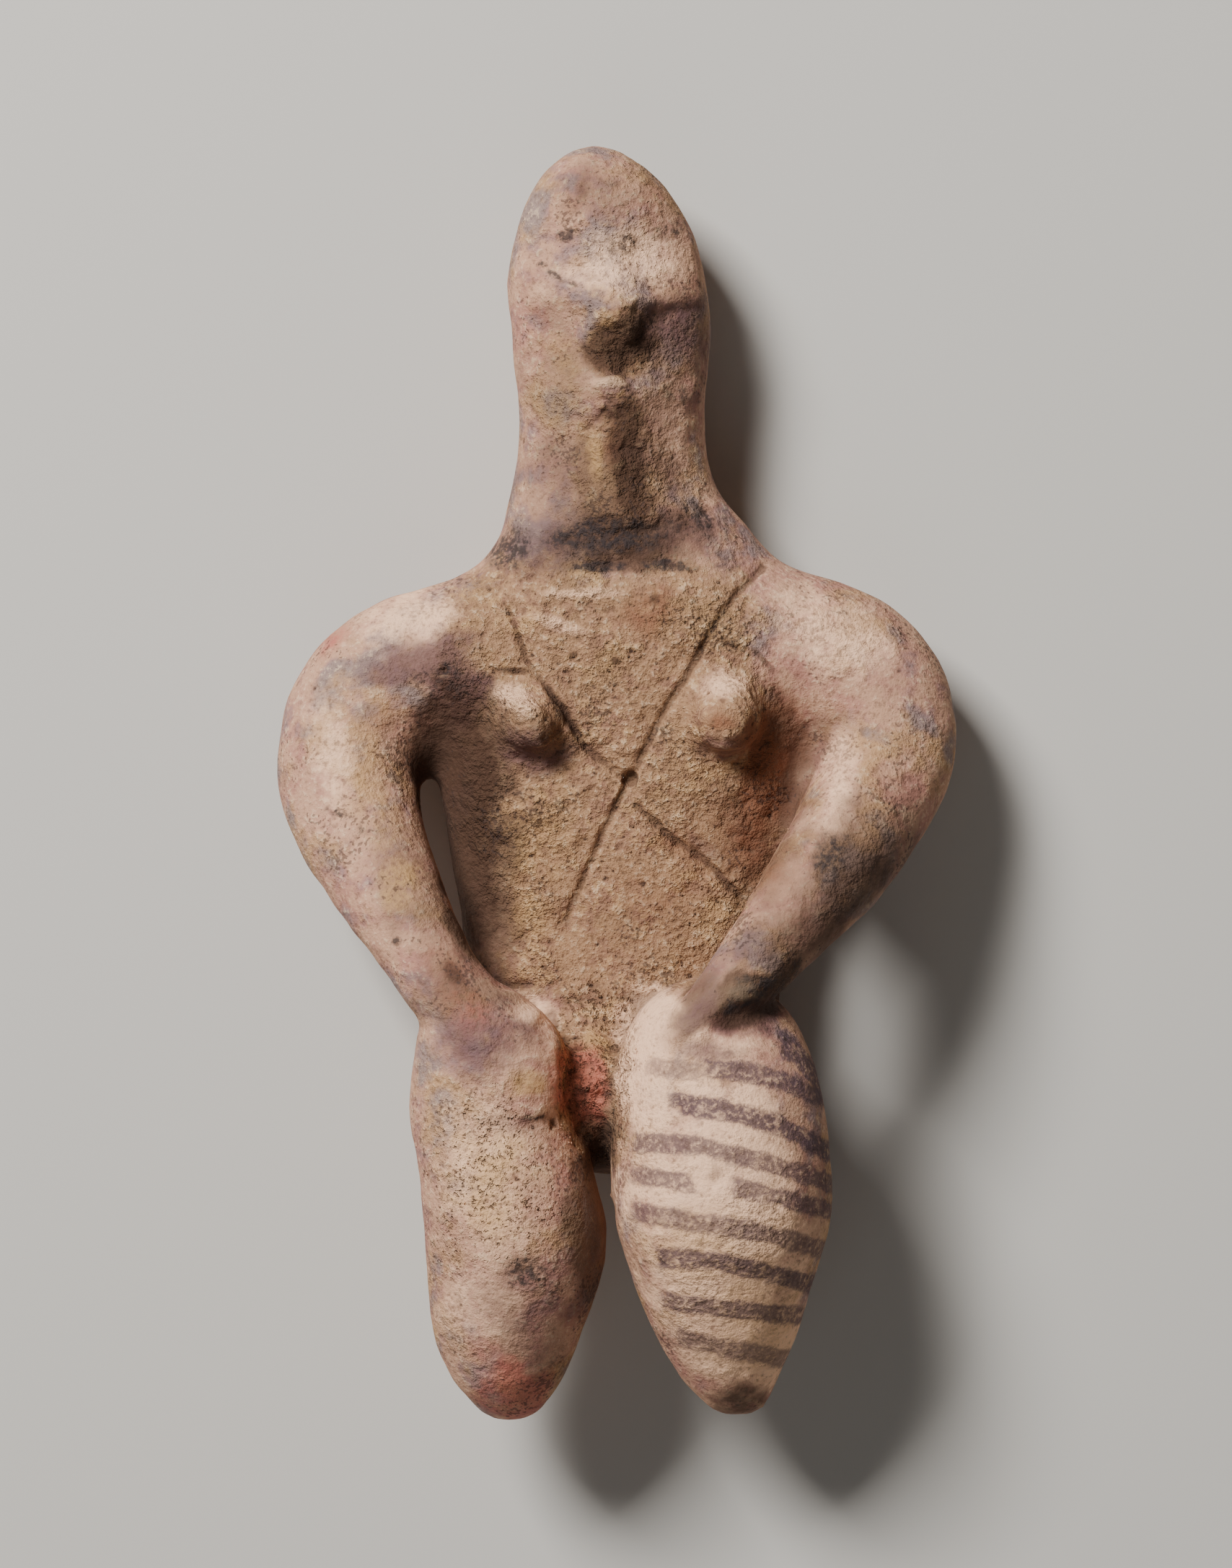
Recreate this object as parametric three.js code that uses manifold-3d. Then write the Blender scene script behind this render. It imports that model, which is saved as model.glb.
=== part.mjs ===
// A hand-modelled terracotta idol, lying on its back: a seated figure with a pinched face, looped
// arms whose hands rest on the knees, two pellet breasts, crossed bands scored over the chest and
// lower legs that taper to blunt points. It was kneaded and fired as one solid piece of clay.
// Millimetres. +Y runs up the figure to the crown, +Z up out of the chest, +X to the viewer's right.
import * as THREE from 'three';
import { mergeVertices } from 'three/addons/utils/BufferGeometryUtils.js';
import Module from 'manifold-3d';

// Driving dimensions
const HEIGHT = 130; // foot tips to crown
const REST_FLAT = 0.7; // how deep the back is flattened where the wet clay was laid down
const SCORE_WIDTH = 1.5; // the scored bands over the chest
const SCORE_DEPTH = 0.75;
const PIT_DIAMETER = 2.4; // the poked hole where the bands cross
const PIT_DEPTH = 1.6;
const SHOULDER_BLEND = 7; // how softly the arms are smoothed into the shoulders
const FOREARM_BLEND = 2.5; // and below the armpits, where they stand clear
const LEG_BLEND = 7; // and each thigh into its shin
const HAND_BLEND = 4.5; // and the left hand into its knee
const FACE_BLEND = 2.5; // and the small forms into the head and chest

// The facets are spaced as shares of the height. The finer ones are on the nose, on the breasts
// and inside the arm loops.
const FACET = HEIGHT / 47.5;
const FINE_FACET = HEIGHT / 96;

// The form, as shares of HEIGHT. x is measured from the middle of the width, y up from the foot
// tips and z up from the surface that the figure lies on.

// Head, neck and trunk: y, middle x, half width, middle z, half depth, squareness of the section
const TRUNK = [
  [0.2, -0.003, 0.0, 0.058, 0.0, 2.2],
  [0.222, -0.003, 0.082, 0.059, 0.051, 2.2],
  [0.262, -0.002, 0.119, 0.063, 0.065, 2.3],
  [0.322, 0.003, 0.125, 0.068, 0.064, 2.5],
  [0.392, 0.003, 0.1265, 0.07, 0.063, 2.6],
  [0.435, 0.0045, 0.1345, 0.071, 0.066, 2.7],
  [0.48, 0.006, 0.1435, 0.072, 0.071, 2.7],
  [0.548, 0.01, 0.155, 0.074, 0.077, 2.6],
  [0.61, 0.01, 0.147, 0.075, 0.079, 2.4],
  [0.65, 0.01, 0.126, 0.077, 0.076, 2.3],
  [0.679, 0.008, 0.109, 0.077, 0.071, 2.2],
  [0.7018, 0.0065, 0.099, 0.077, 0.067, 2.1],
  [0.7246, -0.001, 0.0858, 0.077, 0.064, 2.0],
  [0.7473, -0.0042, 0.0775, 0.077, 0.062, 2.0],
  [0.77, -0.0048, 0.0735, 0.078, 0.061, 2.0],
  [0.8155, -0.0048, 0.0752, 0.08, 0.0635, 2.0],
  [0.8609, -0.0045, 0.0786, 0.081, 0.071, 2.0],
  [0.8837, -0.0075, 0.0795, 0.081, 0.073, 2.0],
  [0.9064, -0.01, 0.0772, 0.082, 0.073, 2.0],
  [0.9292, -0.0107, 0.072, 0.083, 0.069, 2.0],
  [0.9519, -0.0125, 0.0635, 0.083, 0.061, 2.0],
  [0.9747, -0.015, 0.0515, 0.083, 0.049, 2.0],
  [0.9965, -0.0165, 0.03, 0.083, 0.029, 2.0],
  [1.006, -0.017, 0.0, 0.083, 0.0, 2.0],
];

// Coils of clay: x, y, z of the centre and the radius
const ARMS = [
  [
    [-0.105, 0.602, 0.077, 0.05],
    [-0.168, 0.59, 0.079, 0.06],
    [-0.2, 0.56, 0.085, 0.0595],
    [-0.212, 0.5141, 0.098, 0.0565],
    [-0.2065, 0.4803, 0.114, 0.0515],
    [-0.1915, 0.4464, 0.135, 0.046],
    [-0.1735, 0.4126, 0.158, 0.0405],
    [-0.155, 0.381, 0.177, 0.036],
    [-0.136, 0.352, 0.19, 0.033],
    [-0.114, 0.326, 0.198, 0.034],
    [-0.098, 0.304, 0.199, 0.034],
    [-0.086, 0.284, 0.192, 0.031],
  ],
  [
    [0.105, 0.607, 0.077, 0.05],
    [0.169, 0.602, 0.079, 0.057],
    [0.2, 0.577, 0.083, 0.0575],
    [0.213, 0.5423, 0.092, 0.0535],
    [0.2055, 0.5051, 0.109, 0.0505],
    [0.1885, 0.4718, 0.134, 0.048],
    [0.1685, 0.441, 0.158, 0.0445],
    [0.137, 0.402, 0.184, 0.037],
    [0.109, 0.369, 0.201, 0.031],
    [0.083, 0.339, 0.214, 0.0265],
    [0.055, 0.31, 0.219, 0.0225],
  ],
];
// Each thigh from the hip up to the knee
const THIGHS = [
  [[-0.062, 0.252, 0.062, 0.066], [-0.083, 0.246, 0.118, 0.059], [-0.099, 0.266, 0.165, 0.047]],
  [[0.06, 0.254, 0.062, 0.066], [0.07, 0.254, 0.118, 0.076], [0.074, 0.274, 0.168, 0.063]],
];
// Each shin from the knee down to the blunt foot
const SHINS = [
  [
    [-0.099, 0.285, 0.176, 0.047],
    [-0.102, 0.25, 0.18, 0.0505],
    [-0.0895, 0.203, 0.177, 0.063],
    [-0.079, 0.1533, 0.168, 0.07],
    [-0.083, 0.1082, 0.152, 0.0635],
    [-0.086, 0.0688, 0.138, 0.052],
    [-0.0845, 0.037, 0.128, 0.034],
    [-0.083, 0.019, 0.123, 0.017],
  ],
  [
    [0.0745, 0.289, 0.172, 0.058],
    [0.0805, 0.2435, 0.182, 0.0725],
    [0.082, 0.1928, 0.179, 0.0845],
    [0.0815, 0.1533, 0.168, 0.0765],
    [0.084, 0.1082, 0.152, 0.063],
    [0.0885, 0.0651, 0.138, 0.0445],
    [0.094, 0.037, 0.128, 0.0285],
    [0.097, 0.026, 0.124, 0.0155],
  ],
];
// The left hand, smoothed out over its knee, and the web of clay between the knees
const PAD = [
  [-0.127, 0.339, 0.188, 0.024], [-0.112, 0.322, 0.197, 0.034],
  [-0.096, 0.302, 0.2, 0.0375], [-0.08, 0.286, 0.2, 0.033],
];
const WEB = [[-0.018, 0.25, 0.09, 0.05], [-0.02, 0.258, 0.135, 0.042], [-0.024, 0.27, 0.165, 0.028]];

// Pinched up on the head and smoothed in: the ledge of the mouth and the ridge of the throat
const RIDGES = [
  [[-0.024, 0.812, 0.124, 0.017], [-0.006, 0.81, 0.133, 0.018], [0.01, 0.809, 0.124, 0.017]],
  [[0.0, 0.79, 0.119, 0.02], [0.002, 0.75, 0.122, 0.02], [0.004, 0.715, 0.126, 0.02]],
];
// Pressed in with a fingertip: the hollow forehead and the two eye hollows
const PRESSES = [
  [[-0.085, 0.924, 0.178, 0.055], [-0.01, 0.919, 0.196, 0.055], [0.065, 0.926, 0.178, 0.055]],
  [[-0.075, 0.848, 0.172, 0.05], [-0.042, 0.84, 0.184, 0.05]],
  [[0.065, 0.848, 0.172, 0.05], [0.034, 0.84, 0.184, 0.05]],
];
// Pressed on as pellets: the nose and the breasts, from root to tip
const PELLETS = [
  [[0.0, 0.89, 0.134, 0.0155], [0.0, 0.871, 0.14, 0.0185], [0.001, 0.853, 0.144, 0.0165]],
  [[-0.067, 0.558, 0.138, 0.029], [-0.065, 0.552, 0.158, 0.022], [-0.061, 0.543, 0.177, 0.0115]],
  [[0.085, 0.56, 0.132, 0.03], [0.084, 0.553, 0.155, 0.0235], [0.082, 0.542, 0.176, 0.0125]],
];

// The scored bands, as x, y over the chest from shoulder to waist
const CROSSING = [0.011, 0.5];
const BANDS = [
  [[0.116, 0.67], [0.07, 0.603], [0.0395, 0.556], CROSSING, [-0.0096, 0.462], [-0.0434, 0.388]],
  [
    [-0.086, 0.6426], [-0.0685, 0.598], [-0.04, 0.562], [-0.02, 0.536], CROSSING,
    [0.0456, 0.459], [0.0975, 0.41],
  ],
];

// Shares of x, y and z between which the body's facets are finer: the arm loops and the face
const FINE = [[[-0.165, -0.115], [0.105, 0.165]], [[0.79, 0.93]], []];

const FAR = 2 * SHOULDER_BLEND;
const PELLET_SINK = 0.2;
const CLEAR = 0.5 * HEIGHT; // where the arms start to blend into the shoulders
const ARMPIT = 0.6 * HEIGHT; // and from where they blend fully
const scaled = (rows) => rows.map((row) => row.map((share) => share * HEIGHT));

// A coil of clay that follows a smooth line and swells and tapers on its way.
class Coil {
  constructor(stations, beads = 3 * stations.length) {
    const rows = scaled(stations);
    const line = new THREE.CatmullRomCurve3(rows.map(([x, y, z]) => new THREE.Vector3(x, y, z)));
    const girth = new THREE.SplineCurve(rows.map((row, i) => new THREE.Vector2(i, row[3])));
    this.beads = [];
    for (let i = 0; i <= beads; i++) {
      const at = line.getPoint(i / beads);
      this.beads.push([at.x, at.y, at.z, girth.getPoint(i / beads).y]);
    }
    const widest = Math.max(...this.beads.map((bead) => bead[3]));
    const points = this.beads.map(([x, y, z]) => new THREE.Vector3(x, y, z));
    this.box = new THREE.Box3().setFromPoints(points).expandByScalar(widest);
  }

  // Distance from a point to the coil's skin, negative inside. Far away, the distance to its box.
  distance(x, y, z) {
    const { min, max } = this.box;
    const away = Math.hypot(
      Math.max(0, min.x - x, x - max.x),
      Math.max(0, min.y - y, y - max.y),
      Math.max(0, min.z - z, z - max.z),
    );
    if (away > FAR) return away;
    let nearest = Infinity;
    for (let i = 1; i < this.beads.length; i++) {
      const [ax, ay, az, ar] = this.beads[i - 1];
      const [bx, by, bz, br] = this.beads[i];
      const [dx, dy, dz] = [bx - ax, by - ay, bz - az];
      const along = ((x - ax) * dx + (y - ay) * dy + (z - az) * dz) / (dx * dx + dy * dy + dz * dz);
      const t = Math.min(1, Math.max(0, along));
      const gap = Math.hypot(x - ax - dx * t, y - ay - dy * t, z - az - dz * t) - ar - (br - ar) * t;
      nearest = Math.min(nearest, gap);
    }
    return nearest;
  }
}

// The head, neck and trunk: one lump whose section changes from station to station. Squared
// half widths and depths are interpolated, so that the two ends close in a round dome.
class Lump {
  constructor(stations) {
    const rows = stations.map(([y, mx, w, mz, d, n]) => [
      y * HEIGHT, mx * HEIGHT, (w * HEIGHT) ** 2, mz * HEIGHT, (d * HEIGHT) ** 2, n,
    ]);
    this.bottom = rows[0][0];
    this.top = rows[rows.length - 1][0];
    this.section = new THREE.CubicInterpolant(
      rows.map((row) => row[0]), rows.flatMap((row) => row.slice(1)), 5, new Float64Array(5),
    );
  }

  distance(x, y, z) {
    const [mx, w2, mz, d2, n] = this.section.evaluate(Math.min(this.top, Math.max(this.bottom, y)));
    const past = Math.max(0, y - this.top, this.bottom - y);
    const w = Math.sqrt(Math.max(w2, 1e-6));
    const d = Math.sqrt(Math.max(d2, 1e-6));
    const reach = (Math.abs((x - mx) / w) ** n + Math.abs((z - mz) / d) ** n) ** (1 / n);
    const out = (reach - 1) * Math.min(w, d);
    return Math.hypot(Math.max(0, out), past) + Math.min(0, out);
  }
}

// Two lumps of clay smoothed together over a blend width, and a press that hollows one out.
function joined(a, b, blend) {
  const near = Math.max(0, 1 - Math.abs(a - b) / blend);
  return Math.min(a, b) - near * near * blend / 4;
}
const pressed = (clay, finger, blend) => -joined(-clay, finger, blend);

// Head, trunk and arms in one: a function of a point that is negative inside the clay.
function upperBody() {
  const trunk = new Lump(TRUNK);
  const [arms, ridges, presses] = [ARMS, RIDGES, PRESSES].map((all) => all.map((rows) => new Coil(rows)));
  const web = new Coil(WEB);
  return (x, y, z) => {
    let clay = joined(trunk.distance(x, y, z), web.distance(x, y, z), LEG_BLEND);
    for (const press of presses) clay = pressed(clay, press.distance(x, y, z), FACE_BLEND);
    for (const ridge of ridges) clay = joined(clay, ridge.distance(x, y, z), FACE_BLEND);
    const blend = THREE.MathUtils.lerp(
      FOREARM_BLEND, SHOULDER_BLEND, THREE.MathUtils.smoothstep(y, CLEAR, ARMPIT),
    );
    for (const arm of arms) clay = joined(clay, arm.distance(x, y, z), blend);
    return clay;
  };
}

function leg(side) {
  const [thigh, shin, pad] = [THIGHS[side], SHINS[side], PAD].map((rows) => new Coil(rows));
  return (x, y, z) => {
    const bare = joined(thigh.distance(x, y, z), shin.distance(x, y, z), LEG_BLEND);
    return side === 0 ? joined(bare, pad.distance(x, y, z), HAND_BLEND) : bare;
  };
}

// A pellet with the fillet round its foot. Past the fillet it dives under the surface it sits on.
function pellet(coil, under) {
  const { center, radius } = coil.box.getBoundingSphere(new THREE.Sphere());
  const field = (x, y, z) => Math.max(
    joined(under(x, y, z) + PELLET_SINK, coil.distance(x, y, z), FACE_BLEND),
    Math.hypot(x - center.x, y - center.y, z - center.z) - radius,
  );
  const reach = radius + 2 * FINE_FACET;
  return skin(field, center.toArray().map((at) => ticks(at - reach, at + reach, [[at - reach, at + reach]])));
}

// Moves a point along the steepest way onto the surface of a field.
const PROBE = 0.02;
function drawOnto(field, p) {
  for (let pull = 0; pull < 2; pull++) {
    const here = field(p.x, p.y, p.z);
    const slope = new THREE.Vector3(
      field(p.x + PROBE, p.y, p.z) - here,
      field(p.x, p.y + PROBE, p.z) - here,
      field(p.x, p.y, p.z + PROBE) - here,
    ).divideScalar(PROBE);
    p.addScaledVector(slope, -here / Math.max(slope.lengthSq(), 0.25));
  }
  return p;
}

// Grid lines from low to high, closer together inside the fine stretches.
function ticks(low, high, fine = []) {
  const lines = [low];
  while (lines.at(-1) < high) {
    const at = lines.at(-1);
    lines.push(at + (fine.some(([from, to]) => at >= from && at < to) ? FINE_FACET : FACET));
  }
  return lines;
}

// The eight corners of a grid cell are numbered by their steps along x (1), y (2) and z (4). Where
// some lie inside the clay, those that edges of the cell join are one lump. For each of the 256
// ways they can lie, this is the lowest corner of the lump that each corner belongs to.
const LUMPS = Array.from({ length: 256 }, (_, inside) => {
  const lowest = Array.from({ length: 8 }, (_, corner) => corner);
  for (let pass = 0; pass < 8; pass++)
    for (let corner = 0; corner < 8; corner++)
      for (const step of [1, 2, 4])
        if (inside >> corner & inside >> (corner ^ step) & 1)
          lowest[corner] = Math.min(lowest[corner], lowest[corner ^ step]);
  return lowest;
});

// The closed skin of a field: a vertex in each grid cell for each lump of clay that reaches into
// it and one four-sided facet round each grid edge that the surface crosses. The vertices are
// then evened out along the surface and drawn onto it.
function skin(field, grid, rounds = 5) {
  const count = grid.map((lines) => lines.length);
  const stride = [1, count[0], count[0] * count[1]];
  const values = new Float64Array(count[0] * count[1] * count[2]);
  for (let k = 0, n = 0; k < count[2]; k++)
    for (let j = 0; j < count[1]; j++)
      for (let i = 0; i < count[0]; i++, n++) values[n] = field(grid[0][i], grid[1][j], grid[2][k]);

  const vertices = [];
  const vertexOf = new Map();
  function cellVertex(i, j, k, corner) {
    const cell = i + j * stride[1] + k * stride[2];
    const value = (c) => values[cell + (c & 1) + (c >> 1 & 1) * stride[1] + (c >> 2) * stride[2]];
    const place = (c) => new THREE.Vector3(
      grid[0][i + (c & 1)], grid[1][j + (c >> 1 & 1)], grid[2][k + (c >> 2)],
    );
    let inside = 0;
    for (let c = 0; c < 8; c++) if (value(c) < 0) inside |= 1 << c;
    const lump = LUMPS[inside][corner];
    const key = 8 * cell + lump;
    if (vertexOf.has(key)) return vertexOf.get(key);
    const sum = new THREE.Vector3();
    let crossings = 0;
    for (let c = 0; c < 8; c++)
      for (const step of [1, 2, 4]) {
        const end = c ^ step;
        if (!(inside >> c & 1) || inside >> end & 1 || LUMPS[inside][c] !== lump) continue;
        sum.add(place(c).lerp(place(end), value(c) / (value(c) - value(end))));
        crossings++;
      }
    vertexOf.set(key, vertices.length);
    vertices.push(sum.divideScalar(crossings));
    return vertices.length - 1;
  }

  const rings = [];
  const neighbours = [];
  const link = (a, b) => (neighbours[a] ??= new Set()).add(b);
  for (let k = 1; k < count[2] - 1; k++)
    for (let j = 1; j < count[1] - 1; j++)
      for (let i = 1; i < count[0] - 1; i++)
        for (let axis = 0; axis < 3; axis++) {
          const from = i + j * stride[1] + k * stride[2];
          const inside = values[from] < 0;
          if (inside === values[from + stride[axis]] < 0) continue;
          const ring = [[0, 0], [1, 0], [1, 1], [0, 1]].map(([u, v]) => {
            const cell = [i, j, k];
            cell[(axis + 1) % 3] -= u;
            cell[(axis + 2) % 3] -= v;
            const corner = u << (axis + 1) % 3 | v << (axis + 2) % 3 | !inside << axis;
            return cellVertex(...cell, corner);
          });
          if (!inside) ring.reverse();
          rings.push(ring);
          for (let c = 0; c < 4; c++) {
            link(ring[c], ring[(c + 1) % 4]);
            link(ring[(c + 1) % 4], ring[c]);
          }
        }

  for (let round = 0; round < rounds; round++) {
    const evened = vertices.map((vertex, n) => {
      const middle = new THREE.Vector3();
      for (const other of neighbours[n]) middle.add(vertices[other]);
      return middle.divideScalar(neighbours[n].size).lerp(vertex, 0.4);
    });
    evened.forEach((point, n) => { vertices[n] = drawOnto(field, point); });
  }

  // Each facet is split along the diagonal that lies nearer to the surface.
  const triangles = rings.flatMap(([a, b, c, d]) => {
    const off = (p, q) => Math.abs(field(...vertices[p].clone().lerp(vertices[q], 0.5)));
    return off(a, c) <= off(b, d) ? [a, b, c, a, c, d] : [b, c, d, b, d, a];
  });

  const geometry = new THREE.BufferGeometry().setFromPoints(vertices);
  geometry.setIndex(triangles);
  return geometry;
}

const wasm = await Module();
wasm.setup();

function solid(geometry) {
  const bare = geometry.clone();
  bare.deleteAttribute('normal');
  bare.deleteAttribute('uv');
  const merged = mergeVertices(bare, 1e-4);
  return new wasm.Manifold(new wasm.Mesh({
    numProp: 3,
    vertProperties: merged.attributes.position.array,
    triVerts: new Uint32Array(merged.index.array),
  }));
}

function toGeometry(manifold) {
  const mesh = manifold.getMesh();
  const geometry = new THREE.BufferGeometry();
  geometry.setAttribute('position', new THREE.BufferAttribute(mesh.vertProperties, 3));
  geometry.setIndex(new THREE.BufferAttribute(mesh.triVerts, 1));
  geometry.computeVertexNormals();
  return geometry;
}

// How high the chest stands under a point of the drawing, closed in on between two heights.
const HALVINGS = 24;
function surfaceHeight(field, x, y) {
  let [inside, outside] = [0.1 * HEIGHT, 0.25 * HEIGHT];
  for (let halving = 0; halving < HALVINGS; halving++) {
    const middle = (inside + outside) / 2;
    if (field(x, y, middle) < 0) inside = middle;
    else outside = middle;
  }
  return inside;
}

// The round-nosed stick that scored a band, swept along the surface.
const BAND_POINTS = 14;
const BAND_STEPS = 20;
function scoringStick(field, band) {
  const drawn = new THREE.SplineCurve(scaled(band).map(([x, y]) => new THREE.Vector2(x, y)));
  const radius = SCORE_WIDTH / 2;
  const path = new THREE.CatmullRomCurve3(drawn.getSpacedPoints(BAND_POINTS).map(
    ({ x, y }) => new THREE.Vector3(x, y, surfaceHeight(field, x, y) + radius - SCORE_DEPTH),
  ));
  const tip = new THREE.Shape().absarc(0, 0, radius, 0, 2 * Math.PI);
  return new THREE.ExtrudeGeometry(tip, { steps: BAND_STEPS, curveSegments: 4, extrudePath: path });
}

function pokingStick(field) {
  const [x, y] = CROSSING.map((share) => share * HEIGHT);
  const stick = new THREE.CylinderGeometry(PIT_DIAMETER / 2, PIT_DIAMETER / 3, 2 * PIT_DEPTH, 10);
  return stick.rotateX(Math.PI / 2).translate(x, y, surfaceHeight(field, x, y));
}

// Grid lines round a form given as shares, with room for one cell more outside it.
function around(low, high, fine = [[], [], []]) {
  return low.map((from, axis) => ticks(
    from * HEIGHT - 2 * FACET, high[axis] * HEIGHT + FACET, scaled(fine[axis]),
  ));
}

function figurineGeometry() {
  const body = upperBody();
  let clay = solid(skin(body, around([-0.28, 0.18, -0.02], [0.28, 1.01, 0.25], FINE)));
  for (const side of [0, 1])
    clay = clay.add(solid(skin(leg(side), around([-0.18, 0, -0.01], [0.18, 0.36, 0.27]))));
  const pellets = PELLETS.map((rows) => new Coil(rows));
  for (const coil of pellets) clay = clay.add(solid(pellet(coil, body)));
  const chest = (x, y, z) => pellets.reduce(
    (under, coil) => joined(under, coil.distance(x, y, z), FACE_BLEND), body(x, y, z),
  );
  for (const band of BANDS) clay = clay.subtract(solid(scoringStick(chest, band)));
  clay = clay.subtract(solid(pokingStick(chest)));

  const { min, max } = clay.boundingBox();
  const table = new THREE.BoxGeometry(2 * HEIGHT, 4 * HEIGHT, HEIGHT);
  const level = min[2] + REST_FLAT;
  clay = clay.subtract(solid(table.translate(0, 0, level - HEIGHT / 2)));
  return toGeometry(clay).translate(-(min[0] + max[0]) / 2, -(min[1] + max[1]) / 2, -level);
}

const figurine = new THREE.Mesh(
  figurineGeometry(),
  new THREE.MeshStandardMaterial({ color: 0xa98a72, roughness: 0.85, metalness: 0 }),
);
figurine.name = 'figurine';

const idol = new THREE.Group();
idol.add(figurine);

export default idol;
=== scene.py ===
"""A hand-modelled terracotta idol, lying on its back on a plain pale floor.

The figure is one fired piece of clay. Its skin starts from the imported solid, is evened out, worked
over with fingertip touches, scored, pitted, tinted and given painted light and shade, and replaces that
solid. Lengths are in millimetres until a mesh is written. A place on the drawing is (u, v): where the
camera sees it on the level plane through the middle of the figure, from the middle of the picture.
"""
import logging
import math
from dataclasses import dataclass
from enum import Enum
from typing import Any

import bmesh
import bpy
import numpy as np
from mathutils import Euler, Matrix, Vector
from mathutils.bvhtree import BVHTree


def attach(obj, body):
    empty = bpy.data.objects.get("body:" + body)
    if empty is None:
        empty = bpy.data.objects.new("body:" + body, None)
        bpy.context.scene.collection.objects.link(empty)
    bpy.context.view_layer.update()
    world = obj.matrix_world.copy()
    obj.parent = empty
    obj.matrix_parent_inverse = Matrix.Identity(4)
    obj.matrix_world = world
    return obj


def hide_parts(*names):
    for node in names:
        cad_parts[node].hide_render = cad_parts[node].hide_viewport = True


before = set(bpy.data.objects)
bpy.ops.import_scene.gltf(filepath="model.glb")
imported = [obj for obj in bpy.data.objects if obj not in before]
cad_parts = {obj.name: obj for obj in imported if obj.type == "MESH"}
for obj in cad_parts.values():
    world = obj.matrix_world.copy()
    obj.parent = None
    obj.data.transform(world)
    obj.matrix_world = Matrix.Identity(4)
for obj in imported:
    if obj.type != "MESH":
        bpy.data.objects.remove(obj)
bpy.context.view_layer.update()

MM = 0.001
LOG = logging.getLogger("idol")

Line = tuple[tuple[float, float], ...]
Row = tuple[float, ...]
Oval = tuple[float, float, float, float]


def tone(code: str) -> tuple[float, float, float, float]:
    """Turns a colour as it looks in the picture into the colour that is laid on.

    Args:
        code: red, green and blue as six hexadecimal digits.

    Returns:
        Red, green and blue in linear light, and full opacity.
    """
    shares = [int(code[at:at + 2], 16) / 255 for at in (0, 2, 4)]
    linear = [s / 12.92 if s <= 0.04045 else ((s + 0.055) / 1.055) ** 2.4 for s in shares]
    grey = sum(linear) / 3
    vivid = min(1.0 + 1.3 * grey, 1.6)  # the film washes out light colours more than dark ones
    red, green, blue = (grey * (value / grey) ** vivid for value in linear)
    return (red, green, blue, 1.0)


def ramp(values: np.ndarray, low: float, high: float) -> np.ndarray:
    """Rises smoothly from 0 at low to 1 at high, where high may be less than low."""
    share = np.clip((values - low) / (high - low), 0.0, 1.0)
    return share * share * (3.0 - 2.0 * share)


def oval(drawn: np.ndarray, u: float, v: float, wide: float = 1.0, high: float = 1.0) -> np.ndarray:
    """Measures how far points lie from (u, v), where an oval of half that width and height has 1."""
    return np.hypot((drawn[:, 0] - u) / wide, (drawn[:, 1] - v) / high)


class Grain:
    """Seeded, smooth random values in space, the same in each run."""

    CELLS = 48
    TURN = np.array(Euler((0.6, 0.9, 0.5)).to_matrix())

    def __init__(self, seed: int) -> None:
        """Fills the lattice that the values are read from."""
        self.lattice = np.random.default_rng(seed).random((self.CELLS,) * 3)

    def at(self, points: np.ndarray, size: float) -> np.ndarray:
        """Reads one layer of the values.

        Args:
            points: places in millimetres.
            size: the distance over which the values change.

        Returns:
            A value from -1 to 1 at each place.
        """
        scaled = points @ self.TURN / size
        cell = np.floor(scaled).astype(int)
        part = scaled - cell
        part = part * part * (3.0 - 2.0 * part)
        total = np.zeros(len(points))
        for corner in range(8):
            step = np.array([corner & 1, corner >> 1 & 1, corner >> 2])
            x, y, z = ((cell + step) % self.CELLS).T
            share = np.where(step == 1, part, 1.0 - part).prod(axis=1)
            total += share * self.lattice[x, y, z]
        return 2.0 * total - 1.0

    def layered(self, points: np.ndarray, size: float, layers: int = 3) -> np.ndarray:
        """Adds finer and finer layers, each half as strong as the one before."""
        return sum(self.at(points + 31.7 * n, size / 2 ** n) / 2 ** n for n in range(layers)) / 1.5


@dataclass(frozen=True)
class Camera:
    """The camera, straight above the lying figure, where the photograph was taken from.

    Attributes:
        plane: the height of the drawing's plane.
        distance: how far the camera is above that plane.
        height: how much of the plane the picture takes in from its foot to its top.
        drop: how far the middle of the picture is below the middle of the figure.
        sensor: the long side of the film.
    """

    plane: float = 16.0
    distance: float = 620.0
    height: float = 159.27
    drop: float = 0.147
    sensor: float = 36.0

    @property
    def place(self) -> Vector:
        """The camera's place in millimetres."""
        return Vector((0.0, -self.drop, self.plane + self.distance))

    def drawing(self, points: np.ndarray) -> np.ndarray:
        """Finds the (u, v) at which the camera sees points."""
        nearer = self.distance / (self.place.z - points[:, 2])
        return (points[:, :2] - np.array(self.place.xy)) * nearer[:, None]

    def ray(self, u: float, v: float) -> Vector:
        """Gives the direction in which the camera sees a place on the drawing."""
        return Vector((u, v, -self.distance)).normalized()

    def build(self) -> None:
        """Sets up the scene's camera."""
        lens = bpy.data.cameras.new("camera")
        lens.sensor_width = self.sensor
        lens.lens = self.sensor * self.distance / self.height
        camera = bpy.data.objects.new("camera", lens)
        camera.location = self.place * MM
        bpy.context.scene.collection.objects.link(camera)
        bpy.context.scene.camera = camera


CAMERA = Camera()


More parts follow.
